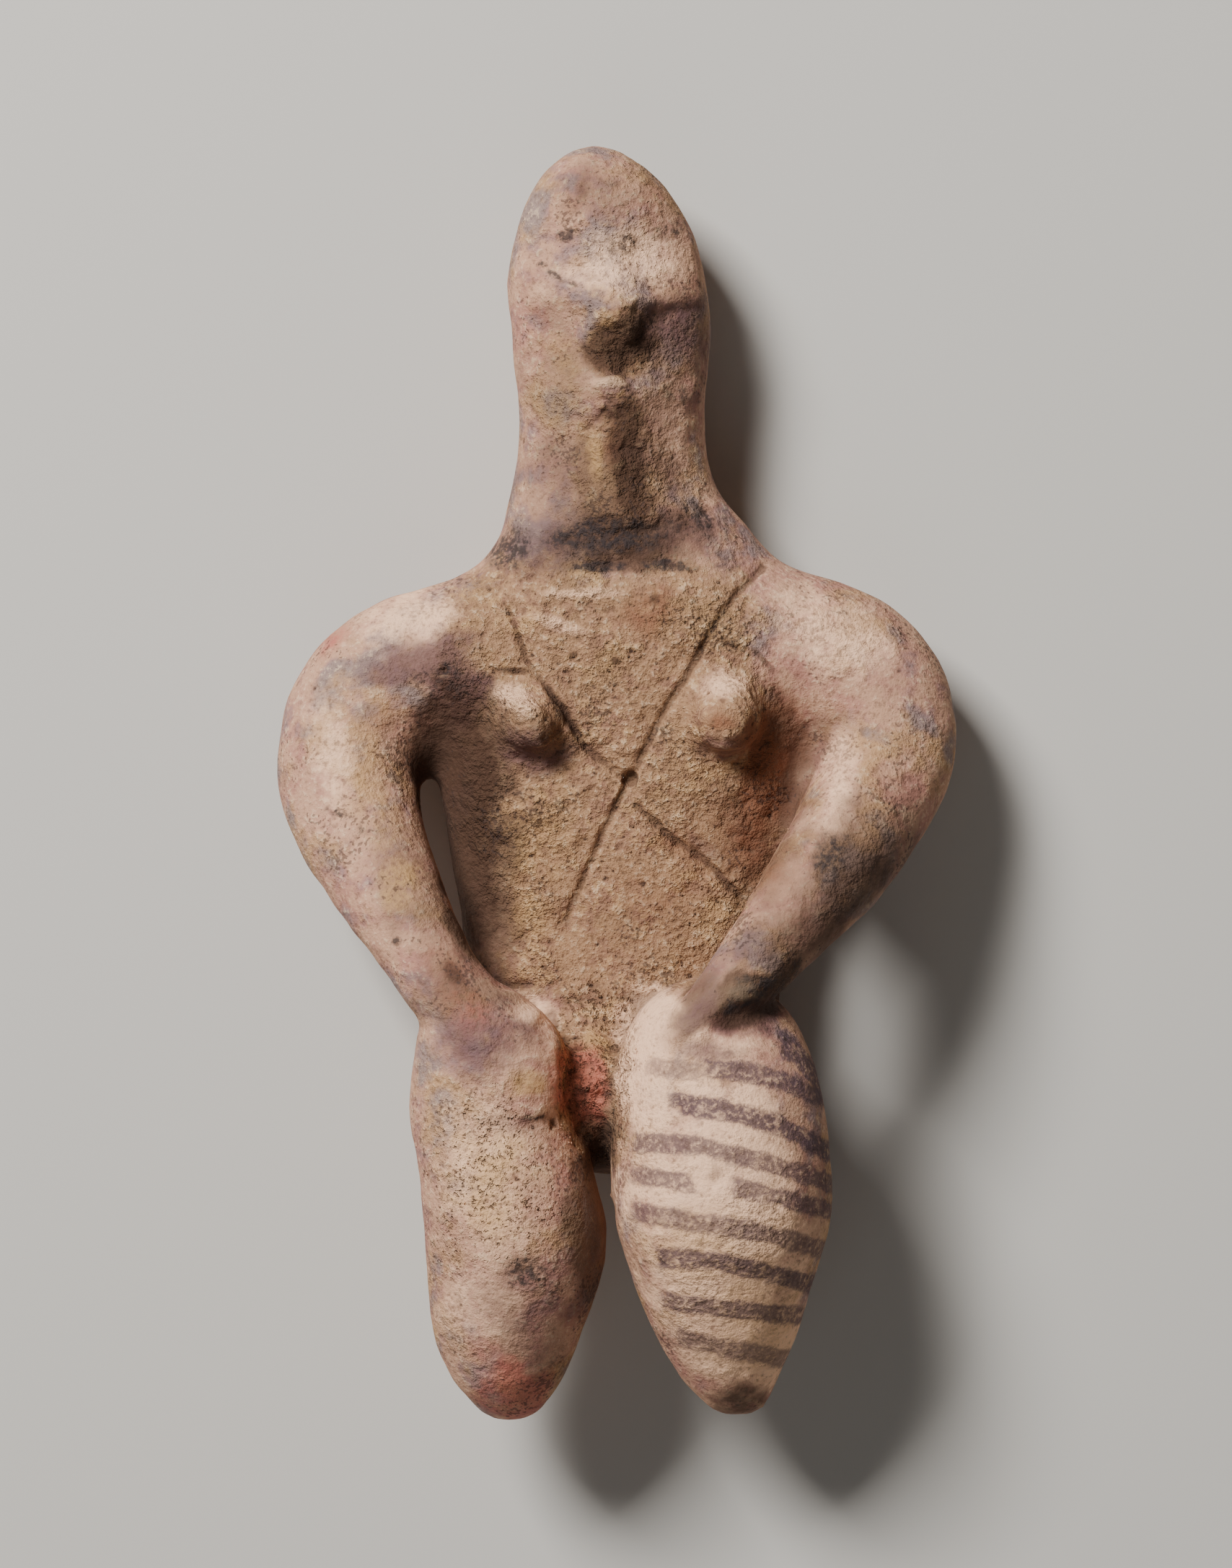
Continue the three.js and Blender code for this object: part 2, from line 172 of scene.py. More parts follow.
class Clay:
    """The skin as arrays, worked on as a modeller works wet clay."""

    EVEN_PULLS = (0.5, -0.526)

    def __init__(self, mesh: bpy.types.Mesh) -> None:
        """Reads a mesh."""
        self.mesh = mesh
        self.count = len(mesh.vertices)
        flat = np.empty(3 * self.count)
        mesh.vertices.foreach_get("co", flat)
        self.points = flat.reshape(-1, 3) / MM
        ends = np.empty(2 * len(mesh.edges), dtype=np.int32)
        mesh.edges.foreach_get("vertices", ends)
        self.ends = ends.reshape(-1, 2)
        self.valence = np.maximum(np.bincount(self.ends.ravel(), minlength=self.count), 1)
        mesh.calc_loop_triangles()
        corners = np.empty(3 * len(mesh.loop_triangles), dtype=np.int32)
        mesh.loop_triangles.foreach_get("vertices", corners)
        self.corners = corners.reshape(-1, 3)

    def around(self, values: np.ndarray) -> np.ndarray:
        """Averages the values of each point's neighbours."""
        a, b = self.ends.T
        columns = values.reshape(self.count, -1).T
        sums = [np.bincount(a, c[b], self.count) + np.bincount(b, c[a], self.count) for c in columns]
        return (np.array(sums).T / self.valence[:, None]).reshape(values.shape)

    def spread(self, values: np.ndarray, rounds: int) -> np.ndarray:
        """Softens values over the skin, a little more with each round."""
        for _ in range(rounds):
            values = 0.5 * (values + self.around(values))
        return values

    def even(self, rounds: int, share: np.ndarray | float = 1.0) -> None:
        """Evens out the skin without shrinking it.

        Args:
            rounds: how often each point is drawn towards its neighbours and back out.
            share: how strongly each point follows, from 0 to 1.
        """
        for _ in range(rounds):
            for pull in self.EVEN_PULLS:
                self.points += pull * np.multiply(share, (self.around(self.points) - self.points).T).T

    def soften(self, rounds: int, share: np.ndarray) -> None:
        """Smooths the skin by a share for each point, and fills what is narrow there."""
        self.points += share[:, None] * (self.spread(self.points, rounds) - self.points)

    def refined(self, share: np.ndarray) -> "Clay":
        """Splits the facets in places, so that they can take finer marks.

        Args:
            share: a value for each point. Facets are split where it is over one half.

        Returns:
            The skin with the finer facets.
        """
        self.write()
        chosen = share > 0.5
        work = bmesh.new()
        work.from_mesh(self.mesh)
        edges = [edge for edge in work.edges if all(chosen[end.index] for end in edge.verts)]
        bmesh.ops.subdivide_edges(work, edges=edges, cuts=1, use_grid_fill=True)
        bmesh.ops.triangulate(work, faces=work.faces)
        work.to_mesh(self.mesh)
        work.free()
        return Clay(self.mesh)

    def normals(self) -> np.ndarray:
        """Gives the direction that faces out of the clay at each point."""
        a, b, c = (self.points[self.corners[:, n]] for n in range(3))
        facet = np.cross(b - a, c - a)
        total = np.zeros((self.count, 3))
        for n in range(3):
            for axis in range(3):
                total[:, axis] += np.bincount(self.corners[:, n], facet[:, axis], self.count)
        return total / np.maximum(np.linalg.norm(total, axis=1), 1e-12)[:, None]

    def hollowness(self, reach: int) -> np.ndarray:
        """Tells how far each point lies below the skin as so many rounds would soften it."""
        soft = self.spread(self.points, reach)
        return ((soft - self.points) * self.normals()).sum(axis=1)

    def push(self, lift: np.ndarray) -> None:
        """Moves each point out of the clay by its lift."""
        self.points += lift[:, None] * self.normals()

    def name(self, attribute: str, values: np.ndarray) -> None:
        """Keeps a value for each point of the mesh under a name."""
        layer = self.mesh.attributes.get(attribute)
        layer = layer or self.mesh.attributes.new(attribute, "FLOAT", "POINT")
        layer.data.foreach_set("value", values.astype(np.float32))

    def write(self) -> None:
        """Writes the points back to the mesh."""
        self.mesh.vertices.foreach_set("co", (self.points * MM).ravel())
        self.mesh.update()

    def tree(self) -> BVHTree:
        """Gives the skin in the form that rays are cast at."""
        return BVHTree.FromPolygons(self.points.tolist(), self.corners.tolist())


class Form(Enum):
    """The shape that a touch leaves across its width."""

    SWELL = "swell"
    CREST = "crest"
    STEP = "step"


@dataclass(frozen=True)
class Touch:
    """One touch of a finger or a stick on the front of the figure.

    Attributes:
        u: its middle on the drawing.
        v: its middle on the drawing.
        long: half its length.
        wide: half its width.
        turn: the direction of its length, in degrees from +u.
        lift: how far it raises the clay, or presses it in where negative.
        form: its shape across its width. A step rises on its left side, seen along its length.
        ragged: how far its edge wanders, as a share of its width.
    """

    u: float
    v: float
    long: float
    wide: float
    turn: float
    lift: float
    form: Form = Form.SWELL
    ragged: float = 0.3

    def reach(self, drawn: np.ndarray, wander: np.ndarray) -> np.ndarray:
        """Works out how much of the touch each point gets.

        Args:
            drawn: the points on the drawing.
            wander: two random values a point that shift its place on the touch.

        Returns:
            A share from -1 to 1 for each point.
        """
        angle = math.radians(self.turn)
        offset = drawn - (self.u, self.v) + wander * self.ragged * min(self.long, self.wide)
        along = (offset[:, 0] * math.cos(angle) + offset[:, 1] * math.sin(angle)) / self.long
        across = (offset[:, 1] * math.cos(angle) - offset[:, 0] * math.sin(angle)) / self.wide
        if self.form is Form.SWELL:
            return np.clip(1.0 - along ** 2 - across ** 2, 0.0, None) ** 2
        taper = np.clip(1.0 - along ** 2, 0.0, None)
        if self.form is Form.CREST:
            return taper * np.clip(1.0 - np.abs(across), 0.0, None) ** 1.5
        return taper * np.clip(1.0 - np.abs(across), 0.0, None) * ramp(across, -0.12, 0.12)


class Stain(Enum):
    """What colours the clay in places: real staining, and in several kinds also painted light and shade, as
    noted at each. Each value is the name of a mesh attribute.
    """

    # Dirt, and painted shade on the flanks, under the nose, along the right forearm and down the inner side
    # of the left shin.
    GRIME_AND_SHADE = "grime_and_shade"
    # Soot marks, and painted shade in the crease at the foot of the neck, under the right forearm and beside
    # the right hand.
    SOOT_AND_SHADE = "soot_and_shade"
    # Iron staining, and painted shade on the right flank of the trunk.
    IRON_AND_SHADE = "iron_and_shade"
    # Purple staining, and painted shade on the right cheek, under the breasts, by the left armpit and round
    # the right hand.
    PLUM_AND_SHADE = "plum_and_shade"
    OCHRE = "ochre"
    # Pale clay, and painted highlight on the brow, the lip, the shoulders, the tops of the breasts, the knees
    # and the lower legs.
    PALE_AND_LIT = "pale"
    # Dark brown marks, and painted shade under the nose and the breasts, down the flanks and between the
    # right hand and the knee.
    UMBER_AND_SHADE = "umber_and_shade"
    EMBER = "ember"


@dataclass(frozen=True)
class Patch:
    """One tinted place, of real staining, of painted light, of painted shade, or of staining and painted
    shade together.

    Attributes:
        tint: what it is tinted with. Some tints carry painted light, and some carry painted shade, besides
            real staining.
        u: its middle on the drawing.
        v: its middle on the drawing.
        long: half its length.
        wide: half its width.
        turn: the direction of its length, in degrees from +u.
        strength: how strong it is in its middle.
        ragged: how far its edge wanders, as a share of its width.
    """

    tint: Stain
    u: float
    v: float
    long: float
    wide: float
    turn: float
    strength: float
    ragged: float = 0.45

    def cover(self, drawn: np.ndarray, wander: np.ndarray) -> np.ndarray:
        """Works out how strong the tint is at each point, as Touch.reach does."""
        touch = Touch(self.u, self.v, self.long, self.wide, self.turn, 1.0, ragged=self.ragged)
        return self.strength * np.sqrt(touch.reach(drawn, wander))


def touched(rows: dict[Form, tuple[Row, ...]]) -> list[Touch]:
    """Makes touches from rows of u, v, long, wide, turn, lift and, where it isn't 0.3, ragged."""
    return [Touch(*row[:6], form, *row[6:]) for form, group in rows.items() for row in group]


def tinted(rows: dict[Stain, tuple[Row, ...]]) -> list[Patch]:
    """Makes patches from rows of u, v, long, wide, turn and strength."""
    return [Patch(tint, *row) for tint, group in rows.items() for row in group]


@dataclass(frozen=True)
class Head:
    """The pinched head and the neck."""

    brow: float = 0.65
    nose: float = 0.9
    lip: float = 0.5
    throat: float = 0.3
    crease: float = 0.35

    def touches(self) -> list[Touch]:
        """Lists the small forms of the face, the throat and the foot of the neck."""
        return touched({
            Form.SWELL: (
                (-1, 49.4, 8, 1.9, -3, self.brow), (5.6, 49.3, 4.5, 1.5, 2, 0.7 * self.brow),
                (-0.4, 47.2, 4.2, 2.4, 0, 0.4 * self.nose, 0.5),
                (0.8, 44.2, 3.8, 3, 0, -0.8 * self.nose, 0.5),
                (-0.8, 45.8, 2.6, 2.2, 0, -0.35 * self.nose, 0.3),
                (3.4, 46.4, 2.6, 1.8, 40, -0.3 * self.nose, 0.5), (-0.6, 39.2, 2, 0.8, 0, -0.3, 0.5),
                (1.4, 33.2, 5, 1.8, 92, -self.throat, 0.9), (8.6, 27.6, 2, 1, -30, -0.3, 0.6),
                (9.6, 28.4, 1, 0.5, -40, 0.3, 0.3),
            ),
            Form.CREST: (
                (-2.5, 46.6, 2.4, 1.1, 58, 0.3 * self.nose, 0.5),
                (2, 48, 2.2, 0.6, -24, 0.2 * self.nose, 0.8), (-1.3, 40.9, 1.6, 0.9, 20, self.lip, 0.6),
                (0.4, 40.8, 1.4, 0.8, -16, 0.8 * self.lip, 0.6), (-6.2, 44.8, 3.2, 0.9, -8, 0.28, 0.4),
                (0, 38.2, 1.8, 0.7, -42, -self.throat, 0.6), (-1.4, 37.6, 1.6, 0.7, 40, -self.throat, 0.6),
                (-2.8, 36.3, 1.3, 0.5, 32, -0.25), (-1.9, 33.6, 4.4, 1, 92, 0.8 * self.throat, 0.8),
                (1.6, 34.8, 1.6, 0.6, -20, 0.2, 0.8), (0.2, 32.4, 1.6, 0.6, 24, 0.2, 0.8),
                (1, 29.6, 1.8, 0.6, -8, 0.2, 0.8), (-4.2, 24.9, 2.6, 0.8, -4, -self.crease, 0.8),
                (0.6, 25.3, 2.9, 0.9, 6, -self.crease, 0.8), (3.8, 25.9, 2.2, 0.8, 16, -self.crease, 0.8),
                (-1.4, 22.2, 3, 0.9, 2, -0.8 * self.crease, 0.8),
                (4.6, 22.4, 3.2, 0.8, -6, -0.6 * self.crease, 0.8),
            ),
        })

    def patches(self) -> list[Patch]:
        """Lists the tinting of the face, the throat and the foot of the neck, with painted highlight on the
        forehead, the brow and the lip, and painted shade under the nose, on the right cheek and in the crease
        at the foot of the neck.
        """
        return tinted({
            Stain.PALE_AND_LIT: (
                (2.6, 53.4, 8, 3.8, 0, 0.85), (-1.6, 51.6, 6, 2, -6, 0.8), (-7.4, 49.6, 1.8, 1.8, 0, 0.55),
                (-0.7, 40.8, 2.2, 0.7, 0, 0.9),
            ),
            Stain.GRIME_AND_SHADE: (
                (-1, 60, 8, 5, 0, 0.6), (-3, 30, 11, 12, 0, 0.75), (-5, 42, 6, 10, 0, 0.65),
                (1, 24.9, 13, 4.2, 3, 1.1), (3.4, 58, 5, 6, 0, 0.35), (2, 45.2, 5, 4.6, 0, 1),
                (5.6, 45, 6.4, 6.4, 0, 0.8), (1.6, 33, 5, 10, 3, 0.75),
            ),
            Stain.OCHRE: (
                (1.4, 62, 4, 1.6, 0, 0.4), (-1, 49.6, 3.6, 1.2, -14, 0.5), (6.4, 49.8, 3.4, 1, 0, 0.4),
                (-5.6, 44.6, 3.6, 1.6, -8, 0.6), (-5.4, 39.4, 4.6, 6.5, 0, 0.35),
                (-2.2, 33.6, 1.1, 3.6, 0, 0.8),
            ),
            Stain.IRON_AND_SHADE: (
                (4.8, 60.6, 3, 4, 0, 0.45), (7.6, 53, 2.4, 4, 0, 0.4), (-8, 50, 2.4, 5, 0, 0.35),
                (-4.6, 58.6, 2.4, 1.4, 50, 0.4), (0.2, 34.4, 2.4, 3.2, 0, 0.6),
            ),
            Stain.PLUM_AND_SHADE: (
                (6, 45.6, 6, 5.6, 0, 0.75), (6.2, 38, 5, 7, 0, 0.4), (4.6, 31, 5, 6.5, 0, 0.55),
                (-8, 24.4, 6, 3.6, 16, 0.7), (7, 25.8, 5, 2.6, 10, 0.6),
            ),
            Stain.UMBER_AND_SHADE: (
                (0.6, 24.8, 10, 3.8, 4, 1), (-3.3, 60.4, 3, 1.1, 76, 0.55), (0.4, 44.6, 4.4, 4.8, 0, 1.4),
                (0, 37.4, 2.2, 1.6, 0, 1), (1.3, 33, 2.6, 9, 3, 1.4), (0.6, 27.6, 6.5, 2.6, 0, 0.5),
            ),
            Stain.SOOT_AND_SHADE: (
                (-4.9, 55.6, 1.5, 0.9, 12, 1.1), (-7.4, 52.8, 0.8, 0.45, 0, 1),
                (-6.1, 51.6, 1.3, 0.6, -44, 0.9), (-4.4, 50.9, 1.5, 0.4, -20, 0.8),
                (0.4, 54.6, 2.6, 1.8, 0, 0.75), (5.6, 56.2, 2.8, 1.2, 15, 0.6),
                (7, 39.4, 2.6, 1.4, 0, 0.45), (-1.4, 25.2, 8.5, 2.2, 3, 0.95),
                (8.4, 27.4, 2.8, 1.5, -30, 0.9), (-1.8, 22.1, 3.6, 0.7, 2, 1.2),
                (5.4, 22.2, 3.6, 0.8, -6, 1.1), (-10.8, 23.8, 3.4, 2, 40, 0.9),
                (11, 22.4, 2.4, 1.4, -30, 0.6),
            ),
        })


@dataclass(frozen=True)
class Chest:
    """The trunk between the shoulders and the knees, with its breasts."""

    drag: float = 0.3
    breast: float = 0.6
    crease: float = 0.5

    def touches(self) -> list[Touch]:
        """Lists the drag marks, the worked breasts and the creases of the trunk."""
        return touched({
            Form.SWELL: (
                (-7.4, 5, 3.6, 2.6, -30, -0.5 * self.breast, 0.4),
                (9.8, 6.8, 2, 1.1, -10, 0.5 * self.breast, 0.5), (11.2, 6.8, 4.6, 5.6, 0, self.breast, 0.2),
                (9.6, 3.4, 3.6, 2, 0, -0.3 * self.breast, 0.4),
                (-3.4, -31, 2.9, 7, 0, -2.0 * self.crease, 0.5),
            ),
            Form.CREST: (
                (-3, 19.4, 5.6, 0.8, 1, self.drag, 0.4), (-5.4, 16.2, 4.2, 0.9, -16, self.drag, 0.4),
                (-6.4, 21.6, 2, 0.6, 4, 0.7 * self.drag), (-3, 18, 5, 0.8, -4, -0.6 * self.drag, 0.4),
                (-9.8, 8.2, 3.6, 1.3, -30, 1.3 * self.breast, 0.5), (-12.4, 8.8, 2.4, 0.6, 40, 0.25, 0.5),
                (-10.6, 11.5, 2.4, 0.45, -6, -0.35, 0.4),
                (10.8, 9.4, 2.6, 1.2, -24, 0.8 * self.breast, 0.5), (13.4, 8.2, 1.8, 0.6, -60, 0.3, 0.5),
                (12, 14, 1.6, 0.5, -20, -0.4, 0.5), (15, 12.6, 2.6, 0.5, -50, -0.45, 0.5),
                (-9.5, -2.6, 2.2, 0.9, -30, 0.3, 0.5), (-3.2, -0.4, 1.8, 0.8, 30, 0.35, 0.5),
                (-10, -20.4, 2.2, 0.7, 0, -self.crease),
                (-1.6, -21.9, 5.6, 1.2, 0, -0.4 * self.crease, 0.8),
            ),
        })

    def patches(self) -> list[Patch]:
        """Lists the tinting of the trunk, with painted highlight on the drag marks and the tops of the
        breasts, and painted shade under the breasts, down both flanks and in the crease over the web.
        """
        return tinted({
            Stain.PALE_AND_LIT: (
                (-3.4, 19.3, 5.4, 0.8, 1, 0.6), (-5.6, 16.3, 4.2, 0.9, -16, 0.7),
                (-10.6, 8.6, 3.4, 1.8, -24, 0.95), (11, 10.2, 3.2, 1.8, 10, 0.8),
            ),
            Stain.GRIME_AND_SHADE: (
                (-8.4, 4, 5.5, 4, -20, 0.8), (-14.4, -5, 6, 20, 4, 1.8), (15, -3, 5.5, 14, -6, 0.9),
            ),
            Stain.OCHRE: (
                (-7.5, -5, 5, 7, -10, 0.5), (-8.6, -14, 3, 4, 0, 0.5), (-2.2, -26, 2.2, 2.4, 0, 0.8),
            ),
            Stain.IRON_AND_SHADE: (
                (3.6, 16.8, 4, 4, 0, 0.75), (10.6, 6.6, 2.4, 1.6, 0, 0.9), (16, 2, 4, 10, -8, 1.3),
                (14, -6, 4.5, 7, 15, 0.7), (7, -7, 5.5, 2.2, -38, 0.5), (4, -12, 6, 6, 20, 0.4),
            ),
            Stain.PLUM_AND_SHADE: (
                (-8.6, 3.4, 4.6, 3, -10, 1), (9.8, 3.8, 4.2, 2.2, 0, 0.7), (9, -6.4, 2.4, 1.2, -38, 0.6),
            ),
            Stain.EMBER: (
                (-3.6, -30.4, 3.2, 5.4, 4, 1.5),
            ),
            Stain.UMBER_AND_SHADE: (
                (-5.4, 7.4, 4.4, 0.9, -58, 1.2), (9.5, 14.8, 9, 1.1, 59, 0.4), (4, 18.5, 0.9, 0.9, 0, 0.9),
                (-4.4, 13.2, 0.8, 0.7, 0, 1), (0, 12.6, 0.7, 0.6, 0, 1), (-7, 5.2, 3, 2, -30, 0.35),
                (-10.4, 11.5, 2.6, 0.6, -6, 0.9), (12, 14, 1.8, 0.7, -20, 0.8), (16.4, 6, 2.6, 6, -20, 0.5),
                (2, -14.5, 9, 5.5, 0, 0.3), (-15.8, -3, 4.6, 18, 6, 1.7), (-13.6, 3.6, 3, 4, 0, 0.6),
                (-3.5, -21.3, 7, 1.2, 0, 0.45), (-1.6, -37, 2.6, 3.4, 0, 1),
            ),
        })


@dataclass(frozen=True)
class Arms:
    """The looped arms with their hands."""

    dent: float = 0.2

    def touches(self) -> list[Touch]:
        """Lists the scratches and the hollow beside the right hand."""
        return touched({
            Form.SWELL: (
                (-22.3, -15.9, 0.5, 0.4, 0, -self.dent), (-17.5, 11.6, 0.6, 0.6, 0, -0.9, 0.1),
                (-15.4, 9.4, 2.4, 1.4, -60, -self.dent, 0.7), (12.4, -23.2, 3.4, 1.8, 20, -0.5, 0.3),
            ),
            Form.CREST: (
                (-28.4, -2.9, 1.8, 0.25, -18, -self.dent, 0.8), (20.5, -17.8, 3, 0.5, 44, -self.dent, 0.5),
            ),
        })

    def patches(self) -> list[Patch]:
        """Lists the tinting of the arms, with painted highlight on the shoulders, and painted shade by the
        left armpit, along the right forearm, round the right hand and between that hand and the knee.
        """
        return tinted({
            Stain.PALE_AND_LIT: (
                (-21, 17, 7, 3.6, 14, 0.9), (-29, 3, 2.6, 8, 6, 0.7), (22, 14.5, 8, 4.5, -30, 0.9),
                (22.6, 0, 2.6, 8, -10, 0.8),
            ),
            Stain.GRIME_AND_SHADE: (
                (22.4, -12, 15, 5, 50, 1.1), (18, -17.4, 9, 3.6, 48, 0.7), (-16, -21, 8, 6, -30, 0.85),
                (-21, -10, 5, 10, 24, 0.75), (28.4, 4, 4, 12, 0, 0.3), (8, -23.6, 5, 2.4, 50, 1.2),
                (8.4, -20.8, 3.6, 2, 48, 1.1), (-12, -24, 4, 3, -20, 0.5), (21.6, -9, 13, 5.4, 55, 1),
            ),
            Stain.OCHRE: (
                (-25, -2, 4, 9, 15, 0.5), (-22, -10.2, 3, 3.4, 0, 0.8), (27, 2, 3, 9, 0, 0.25),
            ),
            Stain.IRON_AND_SHADE: (
                (-23.4, 6.6, 3.4, 3, 0, 0.5), (-17.6, -18.6, 4.6, 3, -50, 0.6),
                (-15.4, -22.6, 4.6, 3.4, -35, 0.55),
            ),
            Stain.PLUM_AND_SHADE: (
                (-20, 12.2, 7.5, 3.4, 14, 1.4), (-16, 9.6, 4.4, 4.4, 0, 1.2),
                (-14, -26.6, 5.6, 3.8, -10, 1.1), (-9.6, -25.4, 3.6, 3.6, -30, 0.7),
                (12.6, -17.6, 6, 2.4, 48, 0.7), (8.6, -23, 5, 1.8, 50, 1), (13.6, -23, 5, 3, 10, 1.3),
                (9.5, -27.6, 5.5, 1.6, -8, 0.9),
            ),
            Stain.EMBER: (
                (-28.6, 14.6, 3.2, 1, 48, 0.8), (-14.6, -23.4, 3.6, 3, -25, 0.45),
            ),
            Stain.UMBER_AND_SHADE: (
                (-14.8, 7.8, 2.4, 2, -60, 0.9), (-16.6, -19.6, 2.4, 1.2, -40, 0.9),
                (16.8, -20.4, 4.6, 2, 58, 1.5), (24.6, -10, 9, 3.4, 50, 0.8),
                (16.5, -16, 7.5, 2.6, 46, 0.55), (13, -21.8, 4.8, 3, 20, 2),
            ),
            Stain.SOOT_AND_SHADE: (
                (-17, 11.6, 2, 1.4, 0, 0.6), (-28.2, -2.9, 2, 0.5, -18, 1.1),
                (-25.9, -4.7, 0.5, 0.7, 0, 1.2), (-22.3, -15.9, 0.7, 0.6, 0, 1.2),
                (13.4, -21.2, 3.8, 1.7, 30, 1.3), (21.5, -7.6, 4, 2.6, 60, 0.75),
            ),
        })


@dataclass(frozen=True)
class Legs:
    """The knees and the lower legs that taper to blunt feet."""

    corner: float = 0.5
    crack: float = 0.6
    chip: float = 0.3

    def touches(self) -> list[Touch]:
        """Lists the corner of the left knee, its crack and hole, and the chips."""
        return touched({
            Form.SWELL: (
                (-6.3, -34.6, 0.5, 0.5, 0, -1.2, 0.1), (-9.4, -49.3, 2.2, 1.6, 0, -0.3, 0.8),
                (10, -39.8, 1, 1, 0, -0.22, 0.1), (10, -39.8, 0.5, 0.5, 0, 0.2, 0.1),
            ),
            Form.CREST: (
                (-7.4, -22.6, 2.6, 1.1, 50, self.corner, 0.2),
                (-10.2, -21.4, 3.4, 0.8, -6, 0.6 * self.corner, 0.2),
                (-6.4, -27, 4, 0.9, -80, 0.4 * self.corner, 0.3), (5.1, -43.9, 0.9, 0.4, -30, -self.chip),
                (4.6, -44.4, 0.8, 0.4, -30, self.chip), (18.6, -56, 2, 0.7, 70, -self.chip, 0.7),
            ),
            Form.STEP: (
                (-8.6, -33.4, 2, 0.8, 194, self.crack, 0.4), (-14.5, -30, 5, 0.8, -2, 0.25, 0.6),
                (13.4, -60.6, 1.2, 0.6, -30, self.chip, 0.5), (14.2, -63, 1.6, 0.6, -20, self.chip, 0.5),
            ),
        })

    def patches(self) -> list[Patch]:
        """Lists the tinting of the legs, with painted highlight on the knees and down the lower legs, and
        painted shade along the inner side of the left shin.
        """
        return tinted({
            Stain.PALE_AND_LIT: (
                (-8.6, -23.2, 3.4, 2.2, -20, 0.9), (-12.8, -39.5, 6, 11, 0, 0.95),
                (4.6, -23.4, 3, 3.4, 0, 1.8), (3, -29, 3.4, 10, 0, 1.5), (10, -42, 11, 21, 0, 1.3),
                (13.6, -56, 7, 7, 0, 1.5), (-13.4, -53, 5, 7, 0, 0.65), (5.1, -43.9, 0.8, 0.5, -30, 1),
            ),
            Stain.GRIME_AND_SHADE: (
                (-2.6, -43, 3.4, 14, -4, 1.4),
            ),
            Stain.OCHRE: (
                (-9.2, -30.4, 3, 1.8, 10, 1), (-12.6, -40.5, 6, 8, 0, 0.8), (14, -55, 6, 8, 0, 0.5),
                (8, -47, 9, 6, 0, 0.55), (9.6, -29.6, 5, 1.8, -12, 0.5),
            ),
            Stain.PLUM_AND_SHADE: (
                (-10.4, -34.6, 5, 2, 0, 0.6), (-9.4, -53, 8, 6, 20, 0.6),
            ),
            Stain.EMBER: (
                (-10.4, -61.4, 4.4, 4.4, 0, 1.3), (-13.4, -57.6, 2.4, 2.2, 0, 0.6),
                (12.4, -64, 2.4, 1.6, 0, 0.4),
            ),
            Stain.UMBER_AND_SHADE: (
                (10, -39.8, 1, 1, 0, 0.6), (12.8, -63, 4, 2.6, 0, 0.9),
            ),
            Stain.SOOT_AND_SHADE: (
                (-8.4, -33.9, 1.8, 0.4, 10, 0.9), (-9.2, -49.6, 2.4, 2.2, -30, 0.8),
                (-6.6, -58.6, 2.6, 4, 60, 0.4),
            ),
        })


@dataclass(frozen=True)
class Stripes:
    """The painted stripes over the right leg: colour only, with no thickness.

    Attributes:
        half: half the width of a stripe.
        lines: the middle of each stripe on the drawing, with how strong its paint is. It runs on
            round the outer side of the leg at the slope of its last stretch.
        foot: how high above the floor the stripes end on the hidden side.
        inner: the stripes lie beyond this u.
        outer: a stripe that ends beyond this u runs on round the leg.
        beyond: how far it runs on over the drawing.
        bare: the depth given to bare clay.
    """

    half: float = 1.0
    foot: float = 7.0
    inner: float = 0.8
    outer: float = 17.0
    beyond: float = 9.0
    bare: float = -2.0
    lines: tuple[tuple[float, Line], ...] = (
        (0.9, ((16.6, -26.1), (18.2, -27.3), (20.0, -29.3))),
        (0.6, ((3.1, -28.4), (5.4, -28.9), (9.0, -29.3))),
        (0.85, ((9.0, -29.0), (12.7, -29.1), (16.5, -30.1), (19.8, -31.4))),
        (0.9, ((5.8, -32.4), (10.4, -33.0), (16.8, -34.7), (21.1, -37.1))),
        (0.8, ((1.5, -36.4), (8.4, -36.7), (15.1, -38.4), (21.4, -40.4))),
        (0.8, ((1.5, -39.7), (7.8, -40.4))),
        (0.8, ((11.8, -41.0), (16.0, -41.8), (20.7, -43.1))),
        (0.75, ((1.5, -43.4), (6.7, -44.4), (13.4, -45.3), (19.8, -47.0))),
        (0.85, ((4.1, -48.1), (10.1, -48.4), (19.4, -50.7))),
        (0.8, ((4.5, -52.4), (10.4, -53.3), (19.1, -54.1))),
        (0.7, ((6.1, -56.0), (11.1, -57.4), (17.4, -58.4))),
    )

    def paint(self, drawn: np.ndarray) -> tuple[np.ndarray, np.ndarray]:
        """Finds how deep inside a stripe each point lies.

        Args:
            drawn: the points on the drawing.

        Returns:
            The depth in millimetres, negative outside, and the strength of the nearest paint.
        """
        depth = np.full(len(drawn), self.bare)
        ink = np.zeros(len(drawn))
        for strength, line in self.lines:
            u, v = np.array(line).T
            slope = (v[-1] - v[-2]) / (u[-1] - u[-2])
            far = u[-1] + (self.beyond if u[-1] > self.outer else 0.0)
            end = far + 0.01  # keeps the last two places apart
            u, v = np.append(u, end), np.append(v, v[-1] + slope * (end - u[-1]))
            off = np.abs(drawn[:, 1] - np.interp(drawn[:, 0], u, v)) * math.cos(math.atan(slope))
            here = np.minimum(self.half - off, 0.5 * np.minimum(drawn[:, 0] - u[0], far - drawn[:, 0]))
            ink = np.where(here > depth, strength, ink)
            depth = np.maximum(depth, here)
        return depth, ink


